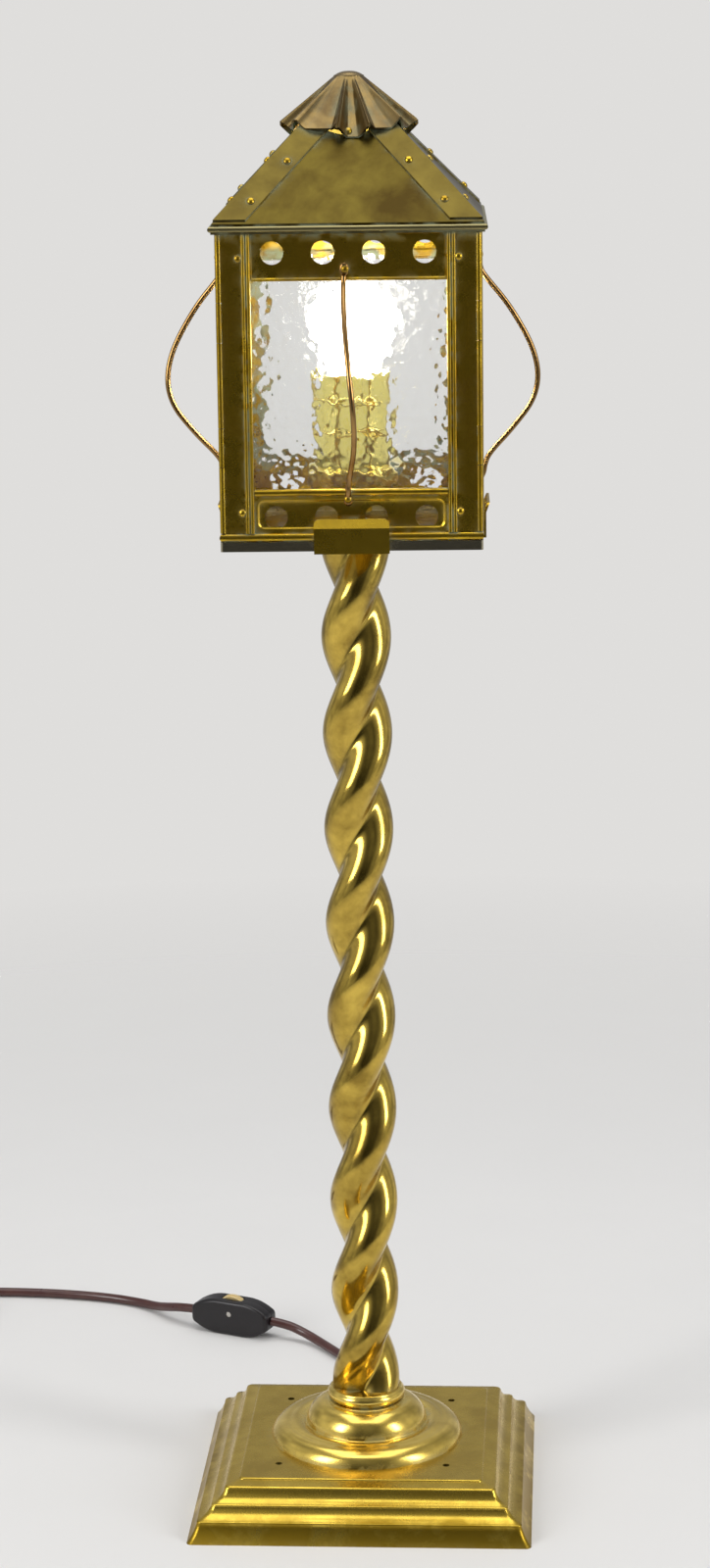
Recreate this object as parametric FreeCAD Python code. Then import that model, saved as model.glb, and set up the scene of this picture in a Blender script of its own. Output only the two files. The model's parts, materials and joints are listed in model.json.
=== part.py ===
import FreeCAD, Part
import os
from math import atan2, cos, degrees, hypot, pi, radians, sin, tan

# Lantern table lamp, millimetres, +Z up, the middle of the foot's underside at the origin.
# The front faces -Y. The foot is turned a little about the column, and the lantern is square.

# --- foot -------------------------------------------------------------------------------------
foot_half = 88.0            # half the width at the floor
foot_turn = -2.06           # degrees that the foot is turned about the column
plate_half = 62.0           # half the width of the flat top plate
plate_z = 26.0              # top of the flat top plate
foot_sheet = 1.2
plate_hole_radius = 1.8     # four small holes in the top plate
plate_hole_offset = 43.5
pad_height = 3.0
pad_gap = 0.4
weight_half = 62.0
weight_height = 10.0
weight_hole_radius = 24.0
weight_channel = 12.0
boss_radius = 50.7
boss_height = 20.0
boss_sheet = 1.0
collar_radius = 20.4
collar_height = 6.8

# --- column and the tube that clamps everything ---------------------------------------------------
column_length = 455.0
strand_width = 35.0         # across both strands
waist_width = 21.8          # across the hollow between them
twist_pitch = 99.7          # one full turn, two strands
strand_points = 24            # points on the outline of the two strands
lowest_bulge = 3.4          # height above the column's foot where the strands lie side by side
tube_radius = 5.0
tube_bore = 3.6
tube_clearance = 0.2
nut_flats = 17.0
nut_height = 4.4
washer_radius = 14.0
washer_height = 1.2
tube_tail = 1.2             # tube left below the foot's nut

# --- cradle, tray and lantern walls ---------------------------------------------------------------
strap_half = 18.3
strap_sheet = 1.2
clip_height = 17.4
clip_flare = 1.8
clip_lip = 4.9
clip_corner = 3.0
clip_gap = 0.4
tray_sheet = 1.0
tray_rim = 4.7              # height of the tray's upturned rim
wall_half = 63.7            # half the width over the rolled corners
wall_height = 148.2
wall_sheet = 0.8
barrel_radius = 1.5
pin_radius = 0.6
pin_clearance = 0.1
knuckle_gap = 0.35
stile_inner = 46.9          # half the width of the window
bead_radius = 1.0           # pair of upright beads on each stile
bead_step = 2.3
foot_bead = 2.1             # bead along the bottom of each wall
rail_bead = 1.7
top_rail_height = 22.6
bottom_rail_height = 25.6
vent_radius = 5.6
vent_step = 24.3
top_vent_drop = 9.2
bottom_vent_rise = 11.8
glass_thickness = 3.0
glass_overlap = 4.6
glass_gap = 0.2
guard_radius = 1.35
guard_reach = 30.0          # how far the bowed wire stands out from the wall

# --- roof -----------------------------------------------------------------------------------------
eave_half = 66.7
eave_bead = 1.4
eave_flange = 1.0
roof_sheet = 0.8
roof_rise = 1.04            # rise of each roof face for one unit inwards
neck_radius = 27.0          # round vent at the top of the four faces
hip_run = 15.5              # width of each hip flange, along the eave
cap_flutes = 12
cap_sheet = 1.15
cap_crown_radius = 7.8
cap_crown_rise = 2.8
cap_height = 23.8           # from the ridges' tips up to the crown's top
ridge_tip_radius = 34.2
face_lobe_radius = 29.2
hip_lobe_radius = 31.5
hip_lobe_seat = 33.0          # degrees from a face's middle where a hip lobe meets the strip
ridge_half_angle = 4.5
cap_gap = 0.35

# --- lamp holder and bulb -------------------------------------------------------------------------
holder_radius = 18.8
holder_skirt_radius = 22.8
holder_cap_height = 23.0
holder_lift = 4.6           # from the lock nut up to the holder's neck
holder_shell_height = 51.0
holder_sheet = 0.9
insulator_thickness = 1.4
thread_shell_radius = 13.05
thread_shell_sheet = 0.5
thread_shell_height = 27.0
bulb_cap_clearance = 0.1
bulb_radius = 22.5
bulb_length = 82.0

# --- flex, switch and plug ------------------------------------------------------------------------
flex_diameter = 5.2
flex_floor_gap = 0.3
flex_exit_z = 6.7
bushing_radius = 3.6
bushing_flange = 4.6
bushing_length = 9.0
inner_bend = 8.6
coil_middle_radius = 31.2
coil_step = 5.65
coil_turns = 7.25
coil_centre = (-279.0, 231.0)
switch_length = 49.5
switch_height = 21.0
switch_thickness = 14.0
switch_wheel_radius = 10.0
switch_wheel_rise = 2.6
switch_wheel_width = 4.0
switch_screw_radius = 1.6
plug_length = 36.0
plug_width = 24.0
plug_height = 16.4
plug_edge = 1.2
blade_length = 18.0
blade_width = 6.3
blade_thickness = 1.5
blade_spacing = 12.7

# --- heights that follow --------------------------------------------------------------------------
flex_radius = flex_diameter / 2
flex_floor_z = flex_radius + flex_floor_gap
boss_top = plate_z + boss_height
column_foot = boss_top + collar_height
column_top = column_foot + column_length
tray_z = column_top + strap_sheet
lock_nut_z = tray_z + tray_sheet
wall_foot = tray_z + tray_rim
wall_top = wall_foot + wall_height
holder_z = lock_nut_z + nut_height + holder_lift
tube_top = holder_z + 12.0
socket_z = holder_z + 27.0
stile_back = wall_half - barrel_radius * 0.2 - wall_sheet - 0.2
pin_offset = wall_half - barrel_radius
hex_corner = nut_flats / 2 / cos(pi / 6)
eave_z = wall_top + eave_flange + eave_bead
roof_foot = eave_z + eave_bead
stride = 90.0
sides = {"front": 0, "right": 1, "back": 2, "left": 3}


def vec(x, y, z):
    return FreeCAD.Vector(x, y, z)


up = vec(0, 0, 1)
origin = vec(0, 0, 0)


def curve(items, place):
    """Edges through the items: a point is a straight run, a pair (middle, end) is an arc."""
    edges = []
    here = place(*items[0])
    for item in items[1:]:
        if isinstance(item[0], tuple):
            middle, end = place(*item[0]), place(*item[1])
            edges.append(Part.Arc(here, middle, end).toShape())
        else:
            end = place(*item)
            edges.append(Part.LineSegment(here, end).toShape())
        here = end
    return edges


def face(items, place):
    """Closed face whose outline ends where it starts."""
    edges = curve(items + [items[0]], place)
    return Part.Face(Part.Wire(edges))


def upright(r, z):
    return vec(r, 0, z)


def front(w, z):
    return vec(0, -w, z)


def turned(items):
    return face(items, upright).revolve(origin, up, 360)


def along_wall(items, half):
    """Section (distance out, height) drawn across a front wall and run along it both ways."""
    section = face(items, front)
    section.translate(vec(-half, 0, 0))
    return section.extrude(vec(2 * half, 0, 0))


def sheet_along_wall(items, thickness, half):
    """Open outline run along the front, as sheet of this thickness behind it."""
    line = Part.Wire(curve(items, front))
    band = line.makeOffset2D(thickness, 0, True, True)
    band.translate(vec(-half, 0, 0))
    return band.extrude(vec(2 * half, 0, 0))


def mitred(solid, low, high):
    """The part of a front piece inside the two corner mitres."""
    reach = 2 * foot_half
    corners = [vec(0, 0, low), vec(-reach, -reach, low), vec(reach, -reach, low), vec(0, 0, low)]
    wedge = Part.Face(Part.makePolygon(corners)).extrude(vec(0, 0, high - low))
    return solid.common(wedge)


def around(solid, side):
    copy = solid.copy()
    copy.rotate(origin, up, stride * sides[side])
    return copy


def ring_of(solid):
    parts = [around(solid, side) for side in sides]
    return parts[0].fuse(parts[1:]).removeSplitter()


def cylinder(radius, height, base=origin, axis=up):
    return Part.makeCylinder(radius, height, base, axis)


def box(low, high):
    return Part.makeBox(high[0] - low[0], high[1] - low[1], high[2] - low[2], vec(*low))


def hexagon(height, z):
    points = [vec(hex_corner * cos(k * pi / 3), hex_corner * sin(k * pi / 3), z) for k in range(7)]
    return Part.Face(Part.makePolygon(points)).extrude(vec(0, 0, height))


def save(name, shape):
    solids = shape.Solids if hasattr(shape, "Solids") else shape
    if not solids or not all(s.isValid() and s.Volume > 0 for s in solids):
        raise ValueError(name + " isn't a sound solid")
    result = solids[0] if len(solids) == 1 else Part.makeCompound(solids)
    result.exportStep("parts/" + name + ".step")
    print("%-22s %3d solids %9.1f mm3" % (name, len(solids), result.Volume))


# --- foot -----------------------------------------------------------------------------------------
def foot():
    """Pressed brass foot: two coves and a fascia swept round a square, under a flat plate."""
    outline = [(foot_half, 0), ((foot_half - 3.0, 4.6), (foot_half - 4.8, 9.4)),
               (foot_half - 5.4, 10.4), ((foot_half - 9.4, 12.6), (foot_half - 11.8, 15.8)),
               (foot_half - 12.4, 16.8), ((foot_half - 16.6, 19.3), (foot_half - 18.2, 22.8)),
               ((foot_half - 18.9, 23.8), (foot_half - 20.2, 24.1)), (plate_half + 0.8, plate_z - 0.8),
               (plate_half - 0.4, plate_z), (0.0, plate_z)]
    side = mitred(sheet_along_wall(outline, foot_sheet, foot_half + 1), -1, plate_z + 1)
    shell = ring_of(side)
    holes = [cylinder(plate_hole_radius, 3 * foot_sheet, vec(x, y, plate_z - 2 * foot_sheet))
             for x in (-plate_hole_offset, plate_hole_offset)
             for y in (-plate_hole_offset, plate_hole_offset)]
    holes.append(cylinder(tube_radius + tube_clearance, 3 * foot_sheet,
                          vec(0, 0, plate_z - 2 * foot_sheet)))
    holes.append(cylinder(bushing_radius, bushing_length * 2,
                          vec(0, foot_half - bushing_length, flex_exit_z), vec(0, 1, 0)))
    return shell.cut(holes)


def foot_pad():
    half = foot_half - foot_sheet * 2 - pad_gap - 1.2
    return box((-half, -half, 0), (half, half, pad_height))


def foot_weight():
    top = pad_height + weight_height
    slab = box((-weight_half, -weight_half, pad_height), (weight_half, weight_half, top))
    slab = slab.makeFillet(6.0, [e for e in slab.Edges if abs(e.BoundBox.ZLength - weight_height) < 0.01])
    hole = cylinder(weight_hole_radius, weight_height + 2, vec(0, 0, pad_height - 1))
    channel = box((-weight_channel / 2, 0, pad_height - 1),
                  (weight_channel / 2, weight_half + 1, top + 1))
    return slab.cut([hole, channel])


def boss():
    """Spun boss: a broad ring and a dome inside it."""
    r, z, top = boss_radius, plate_z, boss_top
    bore = tube_radius + tube_clearance
    t = boss_sheet
    outline = [(r, z), ((r - 2.6, z + 5.0), (r - 10.2, z + 7.8)),
               ((r - 14.8, z + 8.1), (r - 18.7, z + 7.4)), ((r - 21.2, z + 14.4), (r - 30.6, top)),
               (bore, top), (bore, top - t), (r - 30.9, top - t),
               ((r - 22.2, z + 13.9), (r - 19.6, z + 6.4)), ((r - 14.9, z + 7.1), (r - 10.6, z + 6.8)),
               ((r - 3.6, z + 4.4), (r - t, z))]
    return turned(outline)


def collar():
    bore = tube_radius + tube_clearance
    rim = collar_radius - 2.2
    return turned([(bore, boss_top), (rim, boss_top),
                   ((collar_radius, boss_top + collar_height / 2), (rim, column_foot)),
                   (bore, column_foot)])


# --- column ---------------------------------------------------------------------------------------
def strand_section(angle, z):
    """Two strands side by side: a smooth waisted outline, turned by the angle."""
    mean = (strand_width + waist_width) / 4
    swing = (strand_width - waist_width) / 4
    count = strand_points
    points = []
    for k in range(count):
        a = 2 * pi * k / count
        r = mean + swing * cos(2 * a)
        points.append(vec(r * cos(a + angle), r * sin(a + angle), z))
    line = Part.BSplineCurve()
    line.interpolate(points, PeriodicFlag=True)
    return Part.Wire([line.toShape()])


def column():
    start = -2 * pi * lowest_bulge / twist_pitch
    spine = Part.Wire([Part.LineSegment(vec(0, 0, column_foot), vec(0, 0, column_top)).toShape()])
    guide = Part.makeHelix(twist_pitch, column_length, strand_width)
    guide.rotate(origin, up, degrees(start))
    guide.translate(vec(0, 0, column_foot))
    sweep = Part.BRepOffsetAPI.MakePipeShell(spine)
    sweep.setAuxiliarySpine(Part.Wire(guide.Edges), True, 0)
    sweep.add(strand_section(start, column_foot))
    sweep.build()
    sweep.makeSolid()
    twisted = sweep.shape()
    bore = cylinder(tube_radius + tube_clearance, column_length + 2, vec(0, 0, column_foot - 1))
    return twisted.cut(bore)


def clamp_tube():
    low = plate_z - foot_sheet - washer_height - nut_height - tube_tail
    outer = cylinder(tube_radius, tube_top - low, vec(0, 0, low))
    return outer.cut(cylinder(tube_bore, tube_top - low + 2, vec(0, 0, low - 1)))


def drilled_nut(z):
    bore = cylinder(tube_radius + 0.05, nut_height + 2, vec(0, 0, z - 1))
    return hexagon(nut_height, z).cut(bore)


def foot_nut():
    return drilled_nut(plate_z - foot_sheet - washer_height - nut_height)


def foot_washer():
    z = plate_z - foot_sheet - washer_height
    disc = cylinder(washer_radius, washer_height, vec(0, 0, z))
    return disc.cut(cylinder(tube_radius + tube_clearance, washer_height + 2, vec(0, 0, z - 1)))


# --- cradle and tray ------------------------------------------------------------------------------
def cradle():
    """Crossed straps under the tray, each end turned up into a flared spring clip."""
    inner = foot_bead_face() + clip_gap
    outer = inner + strap_sheet
    lip = column_top + clip_height
    bend = lip - clip_lip
    section = [(0, column_top), (outer, column_top), (outer, bend), (outer + clip_flare, lip),
               (inner + clip_flare, lip), (inner, bend), (inner, tray_z), (0, tray_z)]
    arm = along_wall(section, strap_half)
    edges = [e for e in arm.Edges
             if e.BoundBox.ZMin > lip - 0.01 and e.BoundBox.YLength > strap_sheet / 2]
    arm = arm.makeFillet(clip_corner, edges)
    hole = cylinder(tube_radius + tube_clearance, strap_sheet + 2, vec(0, 0, column_top - 1))
    return ring_of(arm).cut(hole)


def foot_bead_face():
    """How far the bead along the walls' foot stands out from the middle."""
    return wall_half + 0.4


def tray():
    half = wall_half
    floor = box((-half, -half, tray_z), (half, half, wall_foot))
    floor = floor.makeFillet(1.2, [e for e in floor.Edges if e.BoundBox.ZLength > tray_rim - 0.01])
    hollow = half - tray_sheet
    pocket = box((-hollow, -hollow, lock_nut_z), (hollow, hollow, wall_foot + 1))
    hole = cylinder(tube_radius + tube_clearance, tray_sheet + 2, vec(0, 0, tray_z - 1))
    return floor.cut([pocket, hole])


# --- lantern walls --------------------------------------------------------------------------------
def knuckle_heights():
    """The five knuckles of each rolled corner, as (low, high) pairs from the bottom."""
    low = wall_foot + 2 * foot_bead
    marks = [0, 0.225, 0.355, 0.641, 0.773, 1]
    levels = [low + m * (wall_top - low) for m in marks]
    return [(levels[k] + knuckle_gap / 2, levels[k + 1] - knuckle_gap / 2) for k in range(5)]


def stile(owner):
    """Strip of sheet with two beads, its edge rolled round the corner pin in knuckles."""
    low = wall_foot + 2 * foot_bead
    back, face_out = stile_back, stile_back + wall_sheet
    strip = box((stile_inner, -face_out, low), (pin_offset, -back, wall_top))
    beads = []
    for k in range(2):
        middle = stile_inner + bead_radius + k * bead_step
        bead = cylinder(bead_radius, wall_top - low, vec(middle, -face_out, low))
        keep = box((middle - 2, -face_out - 2, low), (middle + 2, -face_out, wall_top))
        beads.append(bead.common(keep))
    bore = pin_radius + pin_clearance
    relief = cylinder(barrel_radius + 0.2, wall_top - low + 2, vec(pin_offset, -pin_offset, low - 1))
    body = strip.fuse(beads).cut(relief)
    rolls = []
    for number, (z0, z1) in enumerate(knuckle_heights()):
        if number % 2 != owner % 2:
            continue
        barrel = cylinder(barrel_radius, z1 - z0, vec(pin_offset, -pin_offset, z0))
        neck = box((pin_offset - barrel_radius - 0.6, -face_out, z0), (pin_offset, -back, z1))
        rolls.append(barrel.fuse(neck).cut(cylinder(bore, z1 - z0 + 2, vec(pin_offset, -pin_offset, z0 - 1))))
    return body.fuse(rolls).removeSplitter()


def stiles(owner):
    right = stile(owner)
    left = right.mirror(origin, vec(1, 0, 0))
    return Part.makeCompound([left, right])


def rail_holes(z):
    start = -1.5 * vent_step
    return [cylinder(vent_radius, 12, vec(start + k * vent_step, -wall_half - 3, z), vec(0, 1, 0))
            for k in range(4)]


def rails():
    """Top and bottom rail of one wall, each a strip with four round vents."""
    back, front_face = stile_back - wall_sheet, stile_back
    half = pin_offset - barrel_radius - 0.4
    upper = box((-half, -front_face, wall_top - top_rail_height), (half, -back, wall_top))
    top_z = wall_top - top_vent_drop
    upper = upper.cut(rail_holes(top_z))
    lower = box((-half, -front_face, wall_foot), (half, -back, wall_foot + bottom_rail_height))
    bead_z = wall_foot + bottom_rail_height - rail_bead
    roll = cylinder(rail_bead, 2 * stile_inner - 0.4, vec(-stile_inner + 0.2, -front_face, bead_z),
                    vec(1, 0, 0))
    roll = roll.common(box((-half, -wall_half - 4, wall_foot), (half, -front_face, wall_top)))
    foot_z = wall_foot + foot_bead
    reach = foot_bead_face()
    bulge = along_wall([(back, wall_foot), (reach - foot_bead, wall_foot),
                        ((reach, foot_z), (reach - foot_bead, foot_z + foot_bead)),
                        (back, foot_z + foot_bead)], wall_half + 2)
    bulge = mitred(bulge, wall_foot - 1, wall_top)
    lower = lower.fuse([roll, bulge]).removeSplitter()
    lower = lower.cut(rail_holes(wall_foot + bottom_vent_rise))
    return Part.makeCompound([upper, lower])


def pane():
    out = stile_back - wall_sheet - glass_gap
    half = stile_inner + glass_overlap
    low = wall_foot + bottom_rail_height - glass_overlap
    high = wall_top - top_rail_height + glass_overlap
    return box((-half, -out, low), (half, -(out - glass_thickness), high))


def round_path(points):
    """Straight runs joined by tangent arcs, as large as the shorter run of each pair allows."""
    edges, radii = [], []
    here = points[0]
    for k in range(1, len(points) - 1):
        before, corner, after = points[k - 1], points[k], points[k + 1]
        run_in, run_out = corner - before, after - corner
        turn = run_in.getAngle(run_out)
        reach = 0.45 * min(run_in.Length, run_out.Length)
        radii.append(reach / tan(turn / 2))
        a = corner - vec(*run_in).normalize() * reach
        b = corner + vec(*run_out).normalize() * reach
        bisector = (vec(*run_out).normalize() - vec(*run_in).normalize()).normalize()
        middle = corner + bisector * (radii[-1] / cos(turn / 2) - radii[-1])
        edges.append(Part.LineSegment(here, a).toShape())
        edges.append(Part.Arc(a, middle, b).toShape())
        here = b
    edges.append(Part.LineSegment(here, points[-1]).toShape())
    return Part.Wire(edges), radii


def swept_tube(path, radius, name):
    start = path.Edges[0]
    first = start.valueAt(start.FirstParameter)
    profile = Part.Wire([Part.Circle(first, start.tangentAt(start.FirstParameter), radius).toShape()])
    tube = path.makePipeShell([profile], True, False)
    expected = pi * radius ** 2 * path.Length
    print("  %s: length %.1f, volume %.4f of section times length"
          % (name, path.Length, tube.Volume / expected))
    return tube


def guard(name):
    """Bowed guard wire, riveted to the top and bottom rails."""
    rest = stile_back + guard_radius + 0.1
    top = wall_top - 17.5
    foot = wall_foot + bottom_rail_height + 1.2
    stand = wall_half + guard_reach - guard_radius - rest
    route = [(-2.2, 0.0, top + 2.4), (-2.4, 0.03, top - 7.0), (-2.0, 0.52, top - 24.0),
             (0.4, 1.0, top - 49.0), (2.4, 1.0, top - 68.5), (2.0, 0.52, foot + 18.5),
             (-1.0, 0.10, foot + 4.5), (-1.6, rail_bead / stand, foot - 5.0)]
    points = [vec(u, -(rest + stand * share), z) for u, share, z in route]
    path, radii = round_path(points)
    print("  guard bends %s" % " ".join("%.0f" % r for r in radii))
    return swept_tube(path, guard_radius, name)


def corner_pins():
    low, high = knuckle_heights()[0][0], knuckle_heights()[-1][1]
    pins = []
    for side in sides:
        pins.append(around(cylinder(pin_radius, high - low, vec(pin_offset, -pin_offset, low)), side))
    return Part.makeCompound(pins)


# --- roof -----------------------------------------------------------------------------------------
def roof_z(half):
    """Height of a roof face's outer side at this distance from the middle."""
    return roof_foot + (eave_half - eave_bead / 2 - half) * roof_rise


def slope_slab(low, high, outer, inner):
    """Slab that follows a roof face, between two offsets measured straight up."""
    section = [(outer, roof_z(outer) + low), (outer, roof_z(outer) + high),
               (inner, roof_z(inner) + high), (inner, roof_z(inner) + low)]
    return mitred(along_wall(section, eave_half), wall_top, roof_z(0) + 10)


def neck():
    return cylinder(neck_radius, 200, vec(0, 0, wall_top))


def roof_face():
    thick = roof_sheet * hypot(1, roof_rise)
    return slope_slab(-thick, 0, eave_half - 1.8, 10.0).cut(neck())


def hip_strips():
    """Strip folded over each hip, one flange on either face."""
    thick = roof_sheet * hypot(1, roof_rise)
    outer, inner = eave_half - 2.6, 12.0
    slab = slope_slab(0, thick, outer, inner)
    corners = [vec(outer, -outer, 0), vec(outer - hip_run, -outer, 0), vec(inner - hip_run, -inner, 0),
               vec(inner, -inner, 0), vec(outer, -outer, 0)]
    band = Part.Face(Part.makePolygon(corners)).extrude(vec(0, 0, roof_z(0) + 10))
    right = slab.common(band)
    left = right.mirror(origin, vec(1, 0, 0))
    left.rotate(origin, up, stride)
    strip = right.fuse(left).removeSplitter().cut(neck())
    return Part.makeCompound([around(strip, side) for side in sides])


def eave():
    """Rolled square bead that the roof faces stand in, with the flange on the walls."""
    out, z = eave_half - eave_bead, eave_z
    section = [(stile_back - 4.0, wall_top), (out, wall_top), (out, z - eave_bead),
               ((out + eave_bead, z), (out, z + eave_bead)), (out - 0.6, z + eave_bead),
               (out - 0.6, wall_top + eave_flange), (stile_back - 4.0, wall_top + eave_flange)]
    return ring_of(mitred(along_wall(section, eave_half + 1), wall_top - 1, wall_top + 20))


def lip_point(kind, angle):
    """Point on the vent cap's scalloped lip: ridges stand out, lobes lie on the roof."""
    if kind == "ridge":
        half = ridge_tip_radius * cos(pi / 4)
        top = roof_z(half) + roof_sheet * hypot(1, roof_rise)
        radius = ridge_tip_radius
    elif kind == "face lobe":
        top, radius = roof_z(face_lobe_radius), face_lobe_radius
    elif kind == "hip lobe":
        top = roof_z(hip_lobe_radius * cos(radians(hip_lobe_seat))) + roof_sheet * hypot(1, roof_rise)
        radius = hip_lobe_radius
    else:
        ridge, lobe = lip_point("ridge", angle), lip_point("hip lobe", angle)
        return ridge * 0.62 + lobe * 0.38
    return vec(radius * sin(angle), -radius * cos(angle), top + cap_gap + cap_sheet)


def vent_cap():
    """Fluted vent cap: a cone crimped into ridges and lobes, under a small round crown."""
    step = 2 * pi / cap_flutes
    margin = radians(ridge_half_angle)
    rim_z = lip_point("ridge", 0).z + cap_height - cap_crown_rise
    lip, rim = [], []

    def rim_point(angle):
        return vec(cap_crown_radius * sin(angle), -cap_crown_radius * cos(angle), rim_z)

    for k in range(cap_flutes):
        middle = k * step
        kind = "face lobe" if k % 3 == 0 else "hip lobe"
        for a, b, c, name in ((middle - step / 2 + margin, middle, middle + step / 2 - margin, kind),
                              (middle + step / 2 - margin, middle + step / 2,
                               middle + step / 2 + margin, "ridge")):
            lip.append(Part.Arc(lip_point("side", a), lip_point(name, b), lip_point("side", c)).toShape())
            rim.append(Part.Arc(rim_point(a), rim_point(b), rim_point(c)).toShape())
    down = vec(0, 0, -cap_sheet)
    lip_under = [e.translated(down) for e in lip]
    rim_under = [e.translated(down) for e in rim]
    faces = [Part.Face(Part.Wire(rim)), Part.Face(Part.Wire(rim_under))]
    for upper, lower in ((rim, lip), (rim_under, lip_under), (lip, lip_under)):
        faces += [Part.makeRuledSurface(a, b) for a, b in zip(upper, lower)]
    skirt = Part.makeShell(faces)
    skirt.sewShape()
    skirt = Part.Solid(skirt)
    if skirt.Volume < 0:
        skirt.reverse()
    crown = turned([(0, rim_z - 0.2), (cap_crown_radius - 0.2, rim_z - 0.2), (cap_crown_radius - 0.2, rim_z),
                    ((cap_crown_radius * 0.6, rim_z + cap_crown_rise * 0.7), (0, rim_z + cap_crown_rise))])
    return skirt.fuse(crown)


# --- lamp holder and bulb -------------------------------------------------------------------------
def holder_cap():
    """Spun cap of the lamp holder: a neck on the tube, a shoulder and a wide skirt."""
    z, r, t = holder_z, holder_skirt_radius, holder_sheet
    bore = tube_radius + 0.05
    top = z + holder_cap_height
    outline = [(bore, z), (bore + 3.2, z), (bore + 3.2, z + 4.0), ((r - 3.4, z + 7.0), (r, z + 12.5)),
               (r, top), (holder_radius + 0.1, top), (holder_radius + 0.1, top - t),
               (r - t, top - t), (r - t, z + 12.9), ((r - 4.3, z + 8.2), (bore + 2.4, z + 5.2)),
               (bore, z + 5.2)]
    return turned(outline)


def holder_shell():
    """Brass shell of the lamp holder with two raised rings."""
    z, r, t = holder_z + holder_cap_height - 4.0, holder_radius, holder_sheet
    top = z + holder_shell_height
    rings = [z + 0.45 * holder_shell_height, z + 0.74 * holder_shell_height]
    outline = [(r - t, z), (r, z)]
    for level in rings:
        outline += [(r, level - 1.6), ((r + 0.9, level), (r, level + 1.6))]
    outline += [(r, top), (r - t, top)]
    return turned(outline)


def holder_insulator():
    """Insulating cup that lines the shell and carries the thread shell and the contact."""
    r = holder_radius - holder_sheet - 0.1
    top = holder_z + holder_cap_height - 4.0 + holder_shell_height - 1.0
    inner = r - insulator_thickness
    step = thread_shell_radius + thread_shell_sheet
    floor = socket_z + 6.0
    return turned([(0, socket_z), (r, socket_z), (r, top), (inner, top), (inner, floor + 2.0),
                   (step + 0.9, floor + 2.0), (step + 0.9, floor), (0, floor)])


def thread_shell():
    floor = socket_z + 6.0
    r, t = thread_shell_radius, thread_shell_sheet
    top = floor + thread_shell_height
    return turned([(r - 2.5, floor), (r + t, floor), (r + t, top - 1), (r + t + 0.8, top), (r + 0.3, top),
                   (r, top - 1), (r, floor + t), (r - 2.5, floor + t)])


def centre_contact():
    floor = socket_z + 6.0
    return box((-6.0, -2.0, floor), (3.0, 2.0, floor + 0.6)).fuse(
        cylinder(2.0, 1.2, vec(0, 0, floor + 0.6)))


def bulb_foot():
    return socket_z + 6.0 + 2.1


def bulb_cap():
    z, r = bulb_foot(), thread_shell_radius - bulb_cap_clearance
    return turned([(0, z), (3.2, z), (4.2, z + 1.0), (9.4, z + 3.4), (r, z + 5.0), (r, z + 26.0),
                   (0, z + 26.0)])


def bulb_glass():
    z = bulb_foot() + 26.0
    top = bulb_foot() + bulb_length
    middle = top - bulb_radius
    r = bulb_radius
    side = radians(-28)
    join = (r * cos(side), middle + r * sin(side))
    return turned([(0, z), (thread_shell_radius - 0.4, z), (thread_shell_radius - 0.2, z + 3.0), join,
                   ((r * cos(radians(28)), middle + r * sin(radians(28))), (0, top))])


# --- flex -----------------------------------------------------------------------------------------
def foot_turned(shape):
    copy = shape.copy()
    copy.rotate(origin, up, foot_turn)
    return copy


def foot_point(x, y, z):
    a = radians(foot_turn)
    return vec(x * cos(a) - y * sin(a), x * sin(a) + y * cos(a), z)


def bushing_end():
    return foot_half - 3.2 + bushing_length / 2


def bushing():
    """Collar in the foot's back wall that the flex leaves through."""
    low, high = bushing_end() - bushing_length, bushing_end()
    axis = vec(0, 1, 0)
    flange_at = foot_half + 0.3
    core = cylinder(bushing_radius - 0.05, bushing_length, vec(0, low, flex_exit_z), axis)
    flange = cylinder(bushing_flange, high - flange_at - 0.4, vec(0, flange_at, flex_exit_z), axis)
    bore = cylinder(flex_radius + 0.1, bushing_length + 2, vec(0, low - 1, flex_exit_z), axis)
    return core.fuse(flange).cut(bore)


def inner_flex():
    """Flex inside the lamp: from the bushing through the foot and up the clamp tube."""
    start = vec(0, bushing_end(), flex_exit_z)
    before = vec(0, inner_bend, flex_exit_z)
    bend = inner_bend * (1 - cos(pi / 4))
    middle = vec(0, bend, flex_exit_z + bend)
    after = vec(0, 0, flex_exit_z + inner_bend)
    path = Part.Wire([Part.LineSegment(start, before).toShape(), Part.Arc(before, middle, after).toShape(),
                      Part.LineSegment(after, vec(0, 0, socket_z)).toShape()])
    return swept_tube(path, flex_radius, "inner flex")


def tail_end():
    return vec(coil_centre[0] + flex_diameter, coil_centre[1] + coil_outer(), flex_floor_z)


def coil_outer():
    """Radius of the coil's outermost turn: half of the turns lie on either side of the middle."""
    return coil_middle_radius + coil_step * (coil_turns - 0.5) / 4


def plug_entry():
    return vec(coil_centre[0] - coil_outer() - 2.6, coil_centre[1] - 44.0, flex_floor_z + coil_step)


switch_right = vec(-59.9, 200.5, 10.5)
switch_left = vec(-105.0, 221.0, 10.5)
lead_route = [(4.1, 112.0, 4.7), (2.0, 132.0, 3.0), (-7.0, 150.0, 2.9), (-19.0, 167.0, 2.9),
              (-31.5, 186.5, 3.3), (-41.0, 195.0, 5.8), (-50.5, 198.6, 9.2)]
tail_route = [(-114.2, 225.7, 9.8), (-122.3, 233.2, 7.1), (-130.0, 243.0, 3.7), (-142.0, 252.5, 2.9),
              (-158.0, 259.5, 2.9), (-176.0, 264.5, 2.9), (-196.0, 268.2, 2.9), (-217.5, 270.4, 2.9),
              (-238.0, 271.3, 2.9)]


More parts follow.
